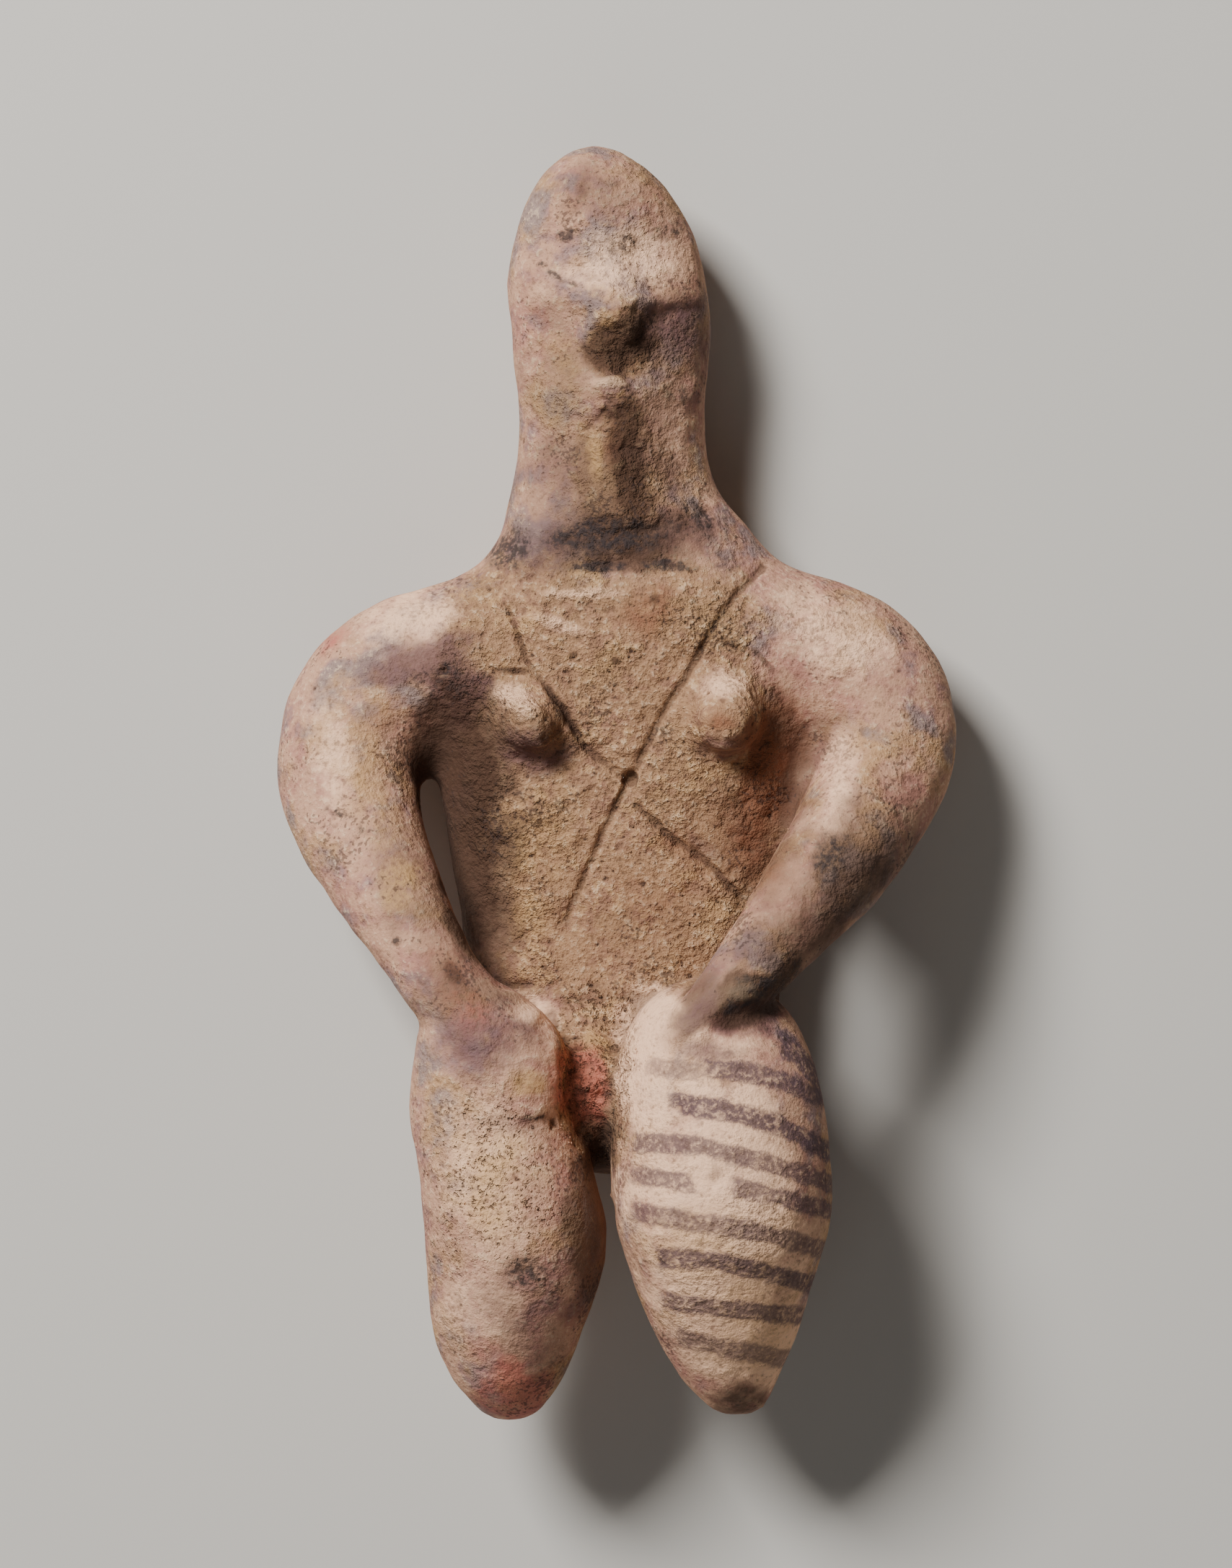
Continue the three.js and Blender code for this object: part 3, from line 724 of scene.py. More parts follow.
class Value:
    """A value in a node tree that takes part in Python arithmetic."""

    def __init__(self, board: "Board", socket: bpy.types.NodeSocket) -> None:
        """Wraps an output socket."""
        self.board = board
        self.socket = socket

    def math(self, operation: str, *others: Any) -> "Value":
        """Adds a Math node with this value first."""
        sockets = dict(enumerate((self, *others)))
        return self.board.node("ShaderNodeMath", {"operation": operation}, sockets)

    def __add__(self, other: Any) -> "Value":
        """Adds."""
        return self.math("ADD", other)

    def __sub__(self, other: Any) -> "Value":
        """Subtracts."""
        return self.math("SUBTRACT", other)

    def __mul__(self, other: Any) -> "Value":
        """Multiplies."""
        return self.math("MULTIPLY", other)

    def __truediv__(self, other: Any) -> "Value":
        """Divides."""
        return self.math("DIVIDE", other)

    def __rsub__(self, other: float) -> "Value":
        """Subtracts this value from a number."""
        return self.math("MULTIPLY_ADD", -1.0, other)

    def __neg__(self) -> "Value":
        """Turns the sign round."""
        return self.math("MULTIPLY", -1.0)

    __radd__ = __add__
    __rmul__ = __mul__

    def rise(self, low: float, high: float) -> "Value":
        """Rises smoothly from 0 at low to 1 at high."""
        settings = {"interpolation_type": "SMOOTHSTEP"}
        return self.board.node("ShaderNodeMapRange", settings, {0: self, 1: low, 2: high})


class Board:
    """Builds the nodes of one tree, for a material or for geometry."""

    def __init__(self, tree: bpy.types.NodeTree) -> None:
        """Wraps a tree."""
        self.tree = tree

    def node(self, kind: str, settings: dict[str, Any], sockets: dict[Any, Any], out: Any = 0) -> Value:
        """Makes a node.

        Args:
            kind: the node's type.
            settings: its properties, set first.
            sockets: a value or a link for each input, under its name or its number.
            out: the name or the number of the output that is wanted.

        Returns:
            That output.
        """
        node = self.tree.nodes.new(kind)
        for key, setting in settings.items():
            setattr(node, key, setting)
        for key, value in sockets.items():
            if isinstance(value, Value):
                self.tree.links.new(value.socket, node.inputs[key])
            else:
                node.inputs[key].default_value = value
        return Value(self, node.outputs[out])

    def end(self, kind: str, sockets: dict[str, Value]) -> None:
        """Makes the node that the tree ends in."""
        last = self.tree.nodes.new(kind)
        for key, value in sockets.items():
            self.tree.links.new(value.socket, last.inputs[key])

    def mix(self, share: Any, first: Any, second: Any) -> Value:
        """Mixes two colours by a share of the second."""
        settings = {"data_type": "RGBA", "clamp_factor": True}
        return self.node("ShaderNodeMix", settings, {0: share, 6: first, 7: second}, 2)

    def attribute(self, name: str) -> Value:
        """Reads a value that the mesh keeps for each point."""
        return self.node("ShaderNodeAttribute", {"attribute_name": name}, {}, "Fac")

    def noise(self, place: Value, size: float, detail: float = 2.0, rough: float = 0.5) -> Value:
        """Reads smooth noise of about 0 to 1 that changes over a size in millimetres."""
        sockets = {"Vector": place, "Scale": 1 / (size * MM), "Detail": detail, "Roughness": rough}
        return self.node("ShaderNodeTexNoise", {}, sockets, "Fac")


@dataclass(frozen=True)
class Terracotta:
    """The fired clay with its slip, wear, dirt and paint, and the light and shade painted into its colour."""

    slip: str = "b89985"
    slip_rosy: str = "a98275"
    slip_tan: str = "ae9070"
    slip_grey: str = "897c7c"
    sand: str = "a08268"
    sand_rosy: str = "93725f"
    sand_tan: str = "a68a68"
    sand_light: str = "bda07e"
    grit_dark: str = "5a4334"
    grit_light: str = "e6d2bb"
    # painted shade in hollows, and painted highlight on crests
    hollow_shade: str = "4a352a"
    crest_highlight: str = "d8c0a4"
    # painted shade in the scored grooves
    groove_shade: str = "4b3729"
    # painted shade in the pores and in the pits of the bump
    pore_shade: str = "45322b"
    pit_shade: str = "4b382b"
    speck_dark: str = "3d2f2b"
    paint: str = "56444a"
    # The colour of each tint: the pale one is mostly painted highlight, and grime, iron, plum, umber and soot
    # carry painted shade besides real staining.
    tints: tuple[tuple[Stain, str, float, float, float], ...] = (
        (Stain.PALE_AND_LIT, "f4d5bb", 2.6, 0.85, 1.6),
        (Stain.GRIME_AND_SHADE, "5a4538", 4.0, 0.8, 0.8),
        (Stain.OCHRE, "ba9c72", 2.0, 0.65, 1.8),
        (Stain.IRON_AND_SHADE, "805640", 2.2, 0.8, 1.3),
        (Stain.PLUM_AND_SHADE, "664a4a", 2.4, 0.8, 1.3),
        (Stain.EMBER, "ac6b5e", 1.8, 0.75, 1.6),
        (Stain.UMBER_AND_SHADE, "422c20", 1.6, 0.85, 1.3),
        (Stain.SOOT_AND_SHADE, "332c2c", 0.8, 0.85, 3.6),
    )

    def material(self) -> bpy.types.Material:
        """Builds the material.

        Returns:
            The material, which reads object coordinates and the attributes of the skin.
        """
        material = bpy.data.materials.new("terracotta")
        material.use_nodes = True
        board = Board(material.node_tree)
        board.tree.nodes.clear()
        place = board.node("ShaderNodeTexCoord", {}, {}, "Object")
        broad = board.noise(place, 14.0)
        warm = board.noise(place, 7.0, 3.0, 0.6)
        middle = board.noise(place, 3.6, 3.0, 0.6)
        small = board.noise(place, 1.5, 3.0, 0.65)
        fine = board.noise(place, 0.55, 3.0, 0.65)
        worn = board.attribute("worn")
        pitted = board.attribute("pitted")
        hollow = board.attribute("hollow")

        colour = board.mix(middle.rise(0.4, 0.62), tone(self.slip), tone(self.slip_rosy))
        colour = board.mix(warm.rise(0.48, 0.64) * 0.8, colour, tone(self.slip_tan))
        colour = board.mix((broad + middle).rise(1.0, 1.25) * 0.75, colour, tone(self.slip_grey))
        sand = board.mix(middle.rise(0.42, 0.62), tone(self.sand), tone(self.sand_rosy))
        sand = board.mix(warm.rise(0.5, 0.66) * 0.5, sand, tone(self.sand_tan))
        sand = board.mix((small + middle).rise(0.98, 1.25) * 0.7, sand, tone(self.sand_light))
        colour = board.mix((worn + (small - 0.5) * 1.6).rise(0.2, 0.8), colour, sand)
        grit = fine * 0.6 + small * 0.4
        colour = board.mix((grit - 0.52).rise(0.0, 0.12) * 0.42, colour, tone(self.grit_light))
        # Lays on the tints: real staining, with painted highlights and painted shade where the tints carry
        # them.
        for tint, code, size, strength, ragged in self.tints:
            edge = board.noise(place, size, 3.0, 0.65) * 0.65 + fine * 0.35 - 0.5
            cover = (board.attribute(tint.value) * (1.0 + edge * 2.0 * ragged)).rise(0.0, 1.1)
            colour = board.mix(cover * strength, colour, tone(code))

        paint = board.attribute("stripe") + (middle - 0.5) * 0.9 + (small - 0.5) * 1.4 + (fine - 0.5) * 1.2
        wear = (1.0 - fine.rise(0.5, 0.68) * 0.45) * (1.0 - small.rise(0.53, 0.68) * 0.45)
        paint = paint.rise(-0.2, 0.25) * board.attribute("ink") * wear
        colour = board.mix(paint, colour, tone(self.paint))

        colour = board.mix((0.48 - grit).rise(0.0, 0.12) * (0.46 + worn * 0.1), colour, tone(self.grit_dark))
        # Painted shade darkens the hollows and painted highlight lightens the crests.
        colour = board.mix(hollow.rise(0.04, 0.6) * 0.6, colour, tone(self.hollow_shade))
        colour = board.mix((-hollow).rise(0.1, 0.6) * 0.25, colour, tone(self.crest_highlight))
        # Painted shade in the scored grooves.
        score = board.attribute("score") * (0.6 + small * 0.8)
        colour = board.mix(score.rise(0.2, 1.2) * 0.6, colour, tone(self.groove_shade))
        vein = board.noise(place, 0.6, 2.0, 0.8)
        pit = ((0.46 - vein + (middle - 0.5) * 0.2) * 8.0 * pitted).rise(0.0, 1.0)
        # Painted shade in the pores and in the pits that the bump cuts.
        colour = board.mix(board.attribute("pore").rise(0.2, 0.9) * 0.7, colour, tone(self.pore_shade))
        colour = board.mix(pit * 0.55, colour, tone(self.pit_shade))

        speck = board.noise(place, 0.42, 1.0, 0.5)
        crowd = board.noise(place, 6.0, 2.0)
        dark = (speck + (crowd - 0.5) * 1.1).rise(0.68, 0.78)
        # Fewer dark specks where the pale tint lies, which is mostly painted highlight.
        unspecked = 1.0 - board.attribute("pale").rise(0.2, 1.0) * 0.75
        colour = board.mix(dark * unspecked * 0.6, colour, tone(self.speck_dark))

        rough = 0.8 + worn * 0.12 + (fine - 0.5) * 0.12
        relief = fine * (0.9 + worn * 1.3) + small * (1.1 + worn * 0.7) - pit
        relief = relief * (0.6 + warm.rise(0.42, 0.6) * 0.6)
        bump = board.node(
            "ShaderNodeBump", {}, {"Height": relief, "Distance": 0.0003, "Strength": 1.0}, "Normal",
        )
        shader = board.node("ShaderNodeBsdfPrincipled", {}, {
            "Base Color": colour, "Roughness": rough, "Normal": bump, "Specular IOR Level": 0.25,
        }, "BSDF")
        board.end("ShaderNodeOutputMaterial", {"Surface": shader})
        return material


def geometry_tree(name: str, inputs: dict[str, str]) -> tuple[Board, dict[str, Value]]:
    """Starts a geometry tree.

    Args:
        name: the tree's name.
        inputs: the kind of each named input besides the geometry.

    Returns:
        The board that builds the tree, and its inputs by name.
    """
    tree = bpy.data.node_groups.new(name, "GeometryNodeTree")
    for key, kind in {"Geometry": "Geometry", **inputs}.items():
        tree.interface.new_socket(key, in_out="INPUT", socket_type="NodeSocket" + kind)
    tree.interface.new_socket("Geometry", in_out="OUTPUT", socket_type="NodeSocketGeometry")
    board = Board(tree)
    entry = tree.nodes.new("NodeGroupInput")
    return board, {key: Value(board, entry.outputs[key]) for key in ("Geometry", *inputs)}


def link_new(name: str, data: Any) -> bpy.types.Object:
    """Puts a new object into the scene."""
    thing = bpy.data.objects.new(name, data)
    bpy.context.scene.collection.objects.link(thing)
    return thing


def evaluated(holder: bpy.types.Object) -> bpy.types.Mesh:
    """Takes the mesh that an object's modifiers make, and deletes the object."""
    graph = bpy.context.evaluated_depsgraph_get()
    mesh = bpy.data.meshes.new_from_object(
        holder.evaluated_get(graph), preserve_all_data_layers=True, depsgraph=graph,
    )
    bpy.data.objects.remove(holder)
    return mesh


def run_tree(mesh: bpy.types.Mesh, board: Board, values: dict[str, Any]) -> bpy.types.Mesh:
    """Sends a mesh through a geometry tree.

    Args:
        mesh: the mesh that goes in.
        board: the board that built the tree.
        values: what each named input is set to.

    Returns:
        The plain mesh that comes out.
    """
    holder = link_new("work", mesh)
    modifier = holder.modifiers.new(board.tree.name, "NODES")
    modifier.node_group = board.tree
    entries = [item for item in board.tree.interface.items_tree if item.in_out == "INPUT"]
    sockets = {item.name: item.identifier for item in entries}
    for key, value in values.items():
        modifier[sockets[key]] = value
    return evaluated(holder)


@dataclass(frozen=True)
class Bands:
    """The two bands scored over the chest, which cross below the breasts, and their pit.

    Attributes:
        width: how wide the stick's groove is.
        depth: how deep it is.
        lip: how far the clay is turned up along both sides.
        lines: the middle of each groove on the drawing.
        pit: where the pit is on the drawing.
        pit_width: half its width.
        pit_depth: how deep it is.
        stride: the distance between the points at which the grooves are laid on the clay.
    """

    width: float = 1.0
    depth: float = 0.38
    lip: float = 0.04
    lines: tuple[Line, ...] = (
        ((-11.4, 18.5), (-10.3, 16.3), (-9.2, 12.6), (-7.3, 10.4), (-5.1, 7.5), (-3.3, 3.8), (0.6, 0.8)),
        ((15.0, 22.1), (12.4, 19.4), (10.6, 17.0), (8.1, 12.6), (5.1, 7.8), (2.9, 3.4), (1.5, 0.4),
         (0.0, -2.2), (-2.6, -7.9), (-5.1, -13.8)),
        ((2.1, -2.2), (5.9, -5.7), (8.8, -7.6), (12.8, -11.6)),
    )
    pit: tuple[float, float] = (1.4, 0.5)
    pit_width: float = 0.95
    pit_depth: float = 0.6
    stride: float = 0.8

    def gap(self, drawn: np.ndarray) -> np.ndarray:
        """Measures how far points on the drawing are from the nearest groove."""
        nearest = np.full(len(drawn), np.inf)
        for line in self.lines:
            for start, end in zip(np.array(line)[:-1], np.array(line)[1:]):
                run = end - start
                along = np.clip((drawn - start) @ run / (run @ run), 0.0, 1.0)
                off = drawn - start - along[:, None] * run
                nearest = np.minimum(nearest, np.linalg.norm(off, axis=1))
        return nearest

    def guide(self, clay: Clay) -> bpy.types.Object:
        """Lays the middles of the grooves on the clay.

        Args:
            clay: the skin that they are laid on.

        Returns:
            An object whose edges are the middles.
        """
        tree = clay.tree()
        points: list[Vector] = []
        edges: list[tuple[int, int]] = []
        for line in self.lines:
            u, v = np.array(line).T
            run = np.concatenate(([0.0], np.cumsum(np.hypot(np.diff(u), np.diff(v)))))
            steps = np.linspace(0.0, run[-1], int(run[-1] / self.stride) + 2)
            first = len(points)
            for x, y in zip(np.interp(steps, run, u), np.interp(steps, run, v)):
                spot = tree.ray_cast(CAMERA.place, CAMERA.ray(x, y))[0]
                points.append(spot * MM)
            edges += [(n, n + 1) for n in range(first, len(points) - 1)]
        mesh = bpy.data.meshes.new("band_lines")
        mesh.from_pydata(points, edges, [])
        return link_new("band_lines", mesh)

    def tree(self) -> Board:
        """Builds the tree that scores grooves along the edges of another object."""
        kinds = {"Bands": "Object", "Width": "Float", "Depth": "Float", "Lip": "Float"}
        board, given = geometry_tree("score_bands", kinds)
        place = board.node("GeometryNodeInputPosition", {}, {})
        normal = board.node("GeometryNodeInputNormal", {}, {})
        lines = board.node(
            "GeometryNodeObjectInfo", {"transform_space": "RELATIVE"}, {"Object": given["Bands"]}, "Geometry",
        )
        gap = board.node("GeometryNodeProximity", {"target_element": "EDGES"}, {0: lines}, "Distance")
        gap = (gap + (board.noise(place, 1.3) - 0.5) * 0.35 * MM) / given["Width"]
        cut = 1.0 - gap.rise(0.1, 0.6)
        lip = gap.rise(0.45, 0.7) - gap.rise(0.75, 1.5)
        heavy = 0.15 + board.noise(place, 5.0) * 1.7
        up = board.node("ShaderNodeSeparateXYZ", {}, {0: normal}, "Z").rise(0.1, 0.4)
        lift = (lip * given["Lip"] - cut * given["Depth"]) * heavy * up
        shift = board.node("ShaderNodeVectorMath", {"operation": "SCALE"}, {0: normal, "Scale": lift})
        clay = board.node("GeometryNodeSetPosition", {}, {"Geometry": given["Geometry"], "Offset": shift})
        # The score value is what the material darkens into painted shade in the grooves.
        clay = board.node(
            "GeometryNodeStoreNamedAttribute", {"data_type": "FLOAT", "domain": "POINT"},
            {"Geometry": clay, "Name": "score", "Value": cut * up * heavy},
        )
        board.end("NodeGroupOutput", {"Geometry": clay})
        return board

    def score(self, clay: Clay) -> Clay:
        """Scores the grooves and pokes the pit.

        Args:
            clay: the skin before.

        Returns:
            The skin after.
        """
        clay.write()
        guide = self.guide(clay)
        values = {"Bands": guide, "Width": self.width * MM, "Depth": self.depth * MM, "Lip": self.lip * MM}
        scored = Clay(run_tree(clay.mesh, self.tree(), values))
        bpy.data.objects.remove(guide)
        offset = CAMERA.drawing(scored.points) - self.pit
        poked = 1.0 - ramp(np.hypot(*offset.T), 0.35 * self.pit_width, 1.15 * self.pit_width)
        scored.push(-self.pit_depth * poked * (scored.normals()[:, 2] > 0))
        return scored


@dataclass(frozen=True)
class Weather:
    """What use and burial did to the surface: open pores, and grains that stand out of it.

    Attributes:
        pores: how many pores a square centimetre has where it is most porous.
        pore: the radius of the largest.
        pore_depth: their depth as a share of their radius.
        grains: how many grains a square centimetre has where it is grittiest.
        grain: the radius of a grain.
        seed: what the random places start from.
    """

    pores: float = 20.0
    pore: float = 0.36
    pore_depth: float = 0.7
    grains: float = 90.0
    grain: float = 0.15
    seed: int = 11

    def tree(self) -> Board:
        """Builds the tree that pits the clay and strews grains over it."""
        kinds = {
            "Pore Density": "Float", "Pore Radius": "Float", "Pore Depth": "Float",
            "Grain Density": "Float", "Grain Radius": "Float", "Seed": "Int", "Material": "Material",
        }
        board, given = geometry_tree("weather_clay", kinds)
        normal = board.node("GeometryNodeInputNormal", {}, {})

        def strewn(clay: Value, name: str, density: Value) -> Value:
            """Strews points over the clay, as close as the named attribute says."""
            crowd = board.node(
                "GeometryNodeInputNamedAttribute", {"data_type": "FLOAT"}, {"Name": name}, "Attribute",
            )
            sockets = {"Mesh": clay, "Density": crowd * density, "Seed": given["Seed"]}
            return board.node("GeometryNodeDistributePointsOnFaces", {}, sockets, "Points")

        holes = strewn(given["Geometry"], "porous", given["Pore Density"])
        gap = board.node("GeometryNodeProximity", {"target_element": "POINTS"}, {0: holes}, "Distance")
        nearest = board.node("GeometryNodeSampleNearest", {"domain": "POINT"}, {"Geometry": holes})
        place = board.node("GeometryNodeInputPosition", {}, {})
        gap = gap + (board.noise(place, 0.5) - 0.5) * 0.5 * MM
        chance = board.node("FunctionNodeRandomValue", {"data_type": "FLOAT"}, {2: 0.4, 3: 1.0}, 1)
        sample = {"data_type": "FLOAT", "domain": "POINT"}
        sockets = {"Geometry": holes, "Value": chance, "Index": nearest}
        radius = board.node("GeometryNodeSampleIndex", sample, sockets) * given["Pore Radius"]
        pit = 1.0 - (gap / radius).rise(0.2, 1.1)
        sink = -(pit * radius * given["Pore Depth"])
        shift = board.node("ShaderNodeVectorMath", {"operation": "SCALE"}, {0: normal, "Scale": sink})
        # The pore value is what the material darkens into painted shade in the pores.
        clay = board.node("GeometryNodeStoreNamedAttribute", sample, {
            "Geometry": given["Geometry"], "Name": "pore", "Value": pit,
        })
        clay = board.node("GeometryNodeSetPosition", {}, {"Geometry": clay, "Offset": shift})

        ball = board.node("GeometryNodeMeshIcoSphere", {}, {"Radius": given["Grain Radius"]})
        vector = {"data_type": "FLOAT_VECTOR"}
        size = board.node("FunctionNodeRandomValue", vector, {0: (0.5, 0.5, 0.4), 1: (1.5, 1.3, 1.0)})
        turn = board.node("FunctionNodeRandomValue", vector, {0: (0, 0, 0), 1: (6, 6, 6), "Seed": 3})
        grit = board.node("GeometryNodeInstanceOnPoints", {}, {
            "Points": strewn(clay, "gritty", given["Grain Density"]), "Instance": ball,
            "Scale": size, "Rotation": turn,
        })
        both = board.node("GeometryNodeJoinGeometry", {}, {0: clay})
        board.tree.links.new(grit.socket, both.socket.node.inputs[0])
        both = board.node("GeometryNodeSetShadeSmooth", {}, {"Geometry": both})
        both = board.node("GeometryNodeRealizeInstances", {}, {"Geometry": both})
        both = board.node("GeometryNodeSetMaterial", {}, {"Geometry": both, "Material": given["Material"]})
        board.end("NodeGroupOutput", {"Geometry": both})
        return board

    def wear(self, clay: Clay, porous: np.ndarray, gritty: np.ndarray, material: bpy.types.Material) -> Clay:
        """Pits the clay and strews the grains.

        Args:
            clay: the skin before.
            porous: how porous each point is, from 0 to 1.
            gritty: how gritty each point is, from 0 to 1.
            material: what the skin is made of.

        Returns:
            The skin after.
        """
        clay.name("porous", porous)
        clay.name("gritty", gritty)
        clay.write()
        per_square_metre = 1e4
        values = {
            "Pore Density": self.pores * per_square_metre, "Pore Radius": self.pore * MM,
            "Pore Depth": self.pore_depth, "Grain Density": self.grains * per_square_metre,
            "Grain Radius": self.grain * MM, "Seed": self.seed, "Material": material,
        }
        return Clay(run_tree(clay.mesh, self.tree(), values))


@dataclass
class Figurine:
    """The whole figure, one piece of fired clay.

    Attributes:
        cell: the spacing of the points of its skin.
        even_rounds: how long the skin of the solid is evened out.
        undulation: how uneven the fingers left the surface.
        tooling: how deep the rough tool marks of the trunk are.
        soft_spots: the brow, the nose and the feet of the breasts, which fingers smoothed: each
            an oval and the rounds. An oval is its middle and half its width and height.
        nose: the oval of the nose.
        face: the oval of the face and the neck.
        throat: the oval of the throat.
        web: the oval of the clay between the thighs.
        crust: the oval of the crust on the left shin.
        breasts: the middles of the breasts.
        parts: the head, the trunk, the arms and the legs, with their small forms, their staining and the
            light and shade painted on them.
        bands: the scored bands.
        stripes: the painted stripes.
        weather: pores and grains.
        finish: the clay itself.
    """

    cell: float = 0.62
    even_rounds: int = 50
    undulation: float = 0.3
    tooling: float = 0.16
    soft_spots: tuple[tuple[float, float, float, float, int], ...] = (
        (2.0, 47.0, 9.5, 4.0, 10),
        (0.8, 46.2, 6.0, 6.0, 30),
        (9.6, 3.4, 5.0, 4.0, 16),
        (-7.2, 4.6, 4.4, 4.0, 12),
    )
    nose: Oval = (0.7, 44.8, 3.8, 4.2)
    face: Oval = (0.0, 43.0, 9.5, 24.0)
    throat: Oval = (0.5, 32.5, 4.5, 8.0)
    web: Oval = (-2.2, -29.0, 4.6, 9.0)
    crust: Oval = (-12.4, -40.5, 7.5, 11.5)
    breasts: Line = ((-9.5, 6.5), (11.0, 6.8))
    parts: tuple[Head | Chest | Arms | Legs, ...] = (Head(), Chest(), Arms(), Legs())
    bands: Bands = Bands()
    stripes: Stripes = Stripes()
    weather: Weather = Weather()
    finish: Terracotta = Terracotta()

    def skin(self) -> Clay:
        """Wraps the solid in an even mesh and smooths its facets away.

        Returns:
            The bare skin.
        """
        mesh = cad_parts["figurine"].data.copy()
        loose = bmesh.new()
        loose.from_mesh(mesh)
        bmesh.ops.remove_doubles(loose, verts=loose.verts, dist=0.01 * MM)
        loose.to_mesh(mesh)
        loose.free()
        holder = link_new("solid", mesh)
        remesh = holder.modifiers.new("even_cells", "REMESH")
        remesh.mode = "VOXEL"
        remesh.voxel_size = self.cell * MM
        clay = Clay(evaluated(holder))
        clay.even(self.even_rounds)
        near_bands = ramp(self.bands.gap(CAMERA.drawing(clay.points)), 2.4, 1.2)
        clay.soften(30, near_bands * ramp(clay.normals()[:, 2], 0.2, 0.5))
        drawn = CAMERA.drawing(clay.points)
        facing = ramp(clay.normals()[:, 2], 0.0, 0.4)
        for *place, rounds in self.soft_spots:
            clay.soften(rounds, ramp(oval(drawn, *place), 1.0, 0.6) * facing)
        zone = self.zones(clay)
        clay = clay.refined(zone["trunk"] + zone["web"] + zone["crust"] + zone["face"])
        clay.even(6)
        return clay

    def zones(self, clay: Clay) -> dict[str, np.ndarray]:
        """Tells apart the kinds of surface.

        Args:
            clay: the skin.

        Returns:
            A share of each zone for each point.
        """
        drawn = CAMERA.drawing(clay.points)
        u, v = drawn.T
        z = clay.points[:, 2]
        wander = 2.4 * Grain(21).layered(clay.points, 7.0, 4)
        left, right = -14.5 - 0.1 * v, 15.5 - 0.12 * v
        trunk = ramp(u + wander, left - 3.5, left + 2.5) * ramp(u + wander, right + 3.5, right - 2.5)
        trunk *= ramp(v + wander, -23.5, -20.0) * ramp(v + 1.5 * wander, 25.0, 18.0)
        nose = 0.7 * ramp(oval(drawn, *self.nose) + 0.15 * wander, 1.2, 0.6)
        face = ramp(oval(drawn, *self.face), 1.1, 0.9)
        low_enough = ramp(z, 27.0, 24.5)
        for breast in self.breasts:
            low_enough = np.maximum(low_enough, 0.8 * ramp(oval(drawn, *breast), 5.5, 4.0))
        front = ramp(clay.normals()[:, 2], -0.1, 0.3)
        web = ramp(oval(drawn, *self.web) + 0.1 * wander, 1.2, 0.85)
        web *= np.maximum(ramp(z, 29.0, 26.0), ramp(np.abs(u + 2.0), 4.0, 3.0))
        crust = ramp(oval(drawn, *self.crust) + 0.16 * wander, 1.2, 0.4)
        throat = 0.6 * ramp(oval(drawn, *self.throat) + 0.1 * wander, 1.2, 0.7)
        return {
            "trunk": trunk * low_enough * front, "web": web * front, "crust": crust * front,
            "throat": np.maximum(throat, nose) * front, "face": face * front,
        }

    def model(self, clay: Clay) -> Clay:
        """Works the skin over by hand.

        Args:
            clay: the bare skin.

        Returns:
            The worked skin.
        """
        grain = Grain(5)
        drawn = CAMERA.drawing(clay.points)
        wander = np.stack([grain.layered(clay.points + shift, 2.4) for shift in (0.0, 57.0)], axis=1)
        front = ramp(clay.normals()[:, 2], 0.0, 0.3)
        lift = np.zeros(clay.count)
        for touch in (touch for part in self.parts for touch in part.touches()):
            lift += touch.lift * touch.reach(drawn, wander)
        clay.push(lift * front)

        zone = self.zones(clay)
        rough = zone["trunk"] + 1.4 * zone["web"] + 0.5 * zone["crust"] + zone["throat"] + 0.7 * zone["face"]
        rough = np.clip(rough, 0.0, 1.5)
        dents = self.undulation * grain.layered(clay.points, 9.0, 3)
        strokes = 1.0 - np.abs(grain.layered(clay.points * (0.45, 1.0, 1.0), 1.3, 2)) * 2.2
        crowd = ramp(grain.layered(clay.points + 23.0, 6.0, 2), -0.7, 0.4)
        lumps = grain.layered(clay.points, 1.9, 4) * crowd
        clay.push(dents + self.tooling * rough * (0.4 * strokes + 1.7 * lumps) + 0.05 * lumps)
        return clay

    def colour(self, clay: Clay) -> None:
        """Keeps on the mesh where it is worn, hollow, tinted and painted with stripes. The hollow values and
        several tints become painted light and shade.

        Args:
            clay: the finished skin.
        """
        grain = Grain(9)
        drawn = CAMERA.drawing(clay.points)
        wander = np.stack([grain.layered(clay.points + shift, 3.2, 4) for shift in (0.0, 41.0)], axis=1)
        facing = clay.normals()[:, 2]
        front = ramp(facing, -0.15, 0.2)
        zone = self.zones(clay)
        worn = zone["trunk"] + zone["web"] + 0.3 * zone["crust"] + zone["throat"] + 0.25 * zone["face"]
        pitted = 0.1 + 0.2 * (zone["trunk"] + zone["face"]) + 0.8 * zone["web"] + 0.7 * zone["crust"]
        clay.name("worn", np.clip(worn, 0.0, 1.0))
        clay.name("pitted", np.clip(pitted, 0.0, 1.0))
        # How hollow each point is: the material paints shade into hollows and highlight onto crests from it.
        hollow = np.maximum(clay.hollowness(24), 0.0) * 1.6 + clay.hollowness(6) * 2.4
        clay.name("hollow", np.clip(hollow, -1.0, 1.0))
        # The tints, several of them painted highlight and painted shade.
        patches = [patch for part in self.parts for patch in part.patches()]
        for tint in Stain:
            covers = [patch.cover(drawn, wander) for patch in patches if patch.tint is tint]
            clay.name(tint.value, np.max(covers, axis=0) * front)
        depth, ink = self.stripes.paint(drawn)
        height = clay.points[:, 2] + 2.0 * wander[:, 0]
        over_foot = ramp(height, self.stripes.foot - 2.0, self.stripes.foot + 2.0)
        clay.name("stripe", np.where(drawn[:, 0] > self.stripes.inner, depth, self.stripes.bare))
        clay.name("ink", ink * over_foot)

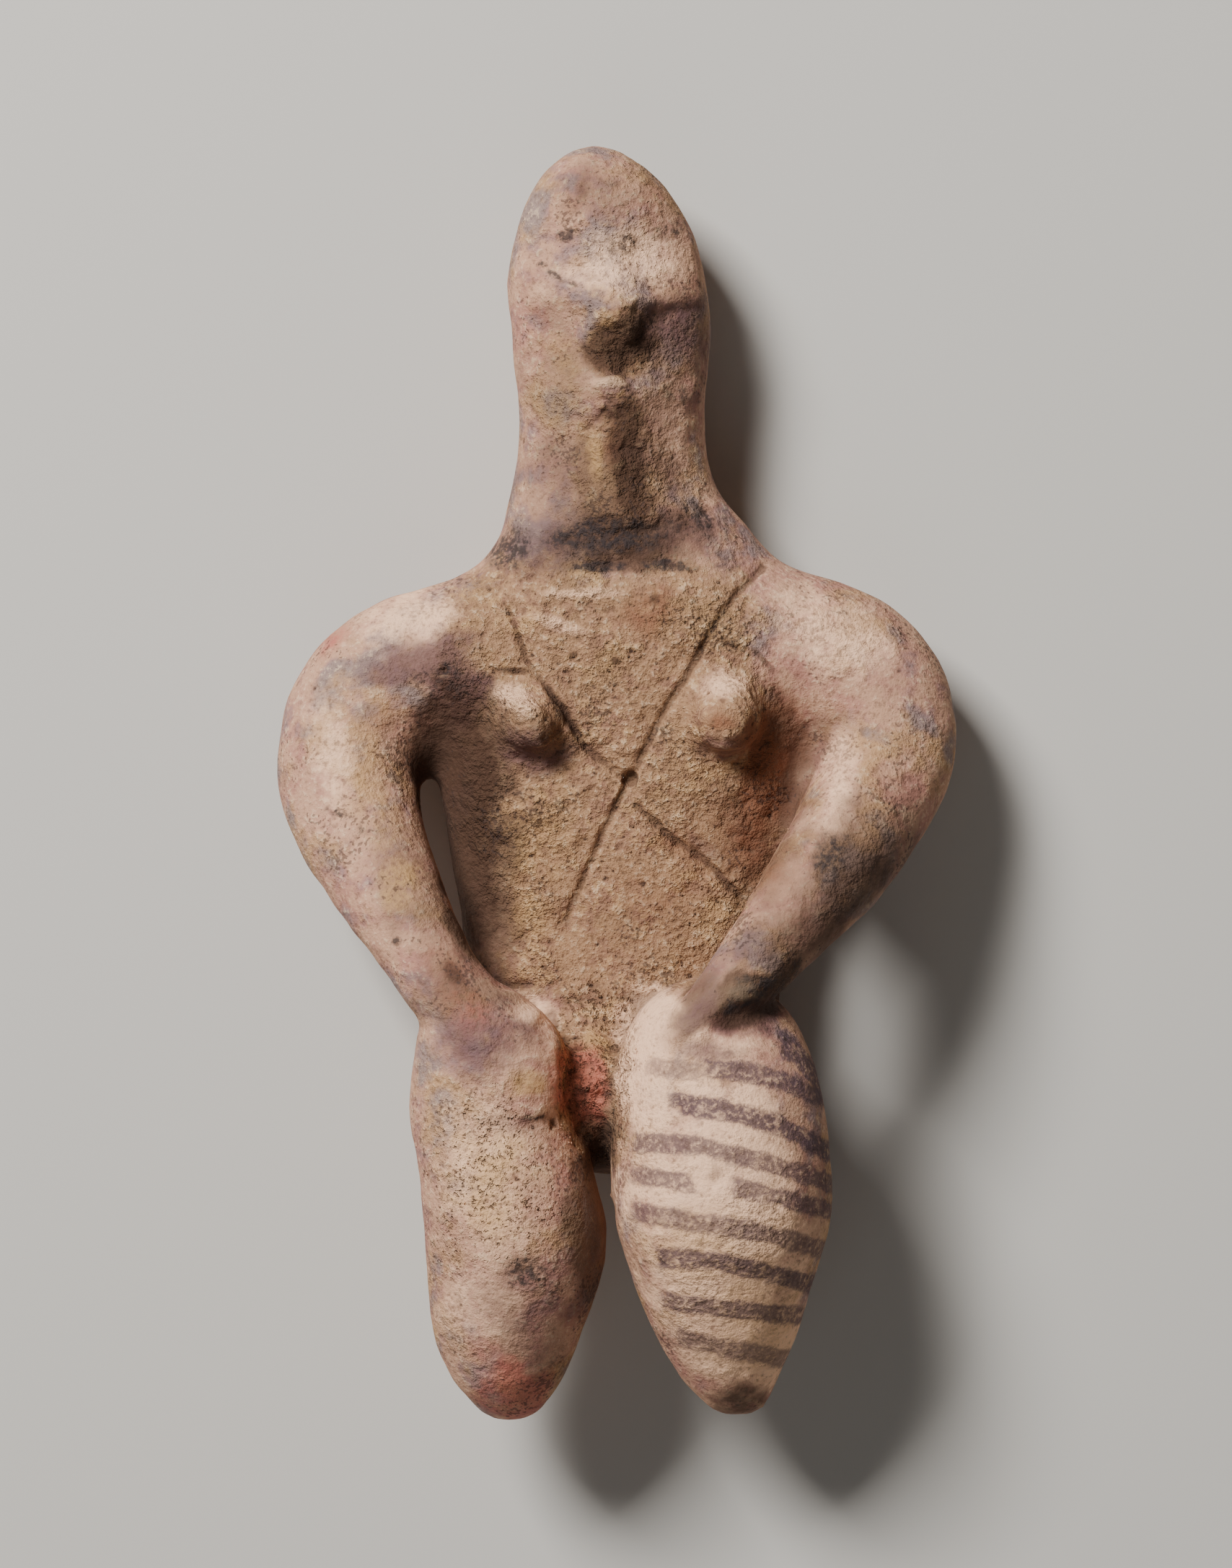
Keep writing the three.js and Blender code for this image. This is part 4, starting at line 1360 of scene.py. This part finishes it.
    def build(self) -> bpy.types.Object:
        """Makes the figure and fastens it to the root body.

        Returns:
            The finished piece.
        """
        clay = self.skin()
        LOG.info("bare skin: %d points", clay.count)
        clay = self.bands.score(self.model(clay))
        zone = self.zones(clay)
        porous = 0.04 + 0.3 * zone["trunk"] + zone["crust"] + zone["web"]
        gritty = 0.1 * zone["trunk"] + 0.2 * zone["crust"] + 0.8 * zone["web"]
        clay = self.weather.wear(clay, np.clip(porous, 0.0, 1.0), gritty, self.finish.material())
        clay.points[:, 2] = np.maximum(clay.points[:, 2], 0.0)
        clay.write()
        self.colour(clay)
        piece = link_new("figurine_clay", clay.mesh)
        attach(piece, "root")
        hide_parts("figurine")
        LOG.info("%s: %d triangles", piece.name, len(clay.corners))
        return piece


@dataclass(frozen=True)
class Lamp:
    """A soft lamp that looks at the figure.

    Attributes:
        name: its name.
        way: the direction from the figure to the lamp.
        far: how far away it is, in metres.
        side: how wide its surface is, in metres.
        watts: its power.
    """

    name: str
    way: tuple[float, float, float]
    far: float
    side: float
    watts: float

    def build(self) -> None:
        """Puts the lamp in its place."""
        data = bpy.data.lights.new(self.name, "AREA")
        data.size = self.side
        data.energy = self.watts
        lamp = link_new(self.name, data)
        way = Vector(self.way).normalized()
        lamp.location = way * self.far
        lamp.rotation_euler = way.to_track_quat("Z", "Y").to_euler()


@dataclass(frozen=True)
class Studio:
    """The plain pale floor, the lamps and the camera."""

    floor_side: float = 6.0
    floor_tone: str = "c9c6c1"
    sky: float = 0.06
    lamps: tuple[Lamp, ...] = (
        Lamp("key", (-0.44, 0.52, 0.73), 0.9, 0.28, 13.6),
        Lamp("fill", (-0.1, -0.7, 0.7), 1.2, 0.9, 1.8),
    )

    def floor(self) -> None:
        """Lays the floor."""
        half = self.floor_side / 2
        mesh = bpy.data.meshes.new("floor")
        corners = [(-half, -half, 0), (half, -half, 0), (half, half, 0), (-half, half, 0)]
        mesh.from_pydata(corners, [], [(0, 1, 2, 3)])
        material = bpy.data.materials.new("floor")
        material.use_nodes = True
        shader = material.node_tree.nodes["Principled BSDF"]
        shader.inputs["Base Color"].default_value = tone(self.floor_tone)
        shader.inputs["Roughness"].default_value = 0.9
        mesh.materials.append(material)
        link_new("floor", mesh)

    def build(self) -> None:
        """Sets up everything around the figure."""
        world = bpy.data.worlds.new("studio")
        world.use_nodes = True
        world.node_tree.nodes["Background"].inputs["Color"].default_value = (1.0, 1.0, 1.0, 1.0)
        world.node_tree.nodes["Background"].inputs["Strength"].default_value = self.sky
        bpy.context.scene.world = world
        self.floor()
        for lamp in self.lamps:
            lamp.build()
        CAMERA.build()


def main() -> None:
    """Builds the figure and the studio."""
    logging.basicConfig(level=logging.INFO, format="%(name)s: %(message)s")
    Figurine().build()
    Studio().build()


if __name__ == "__main__":
    main()
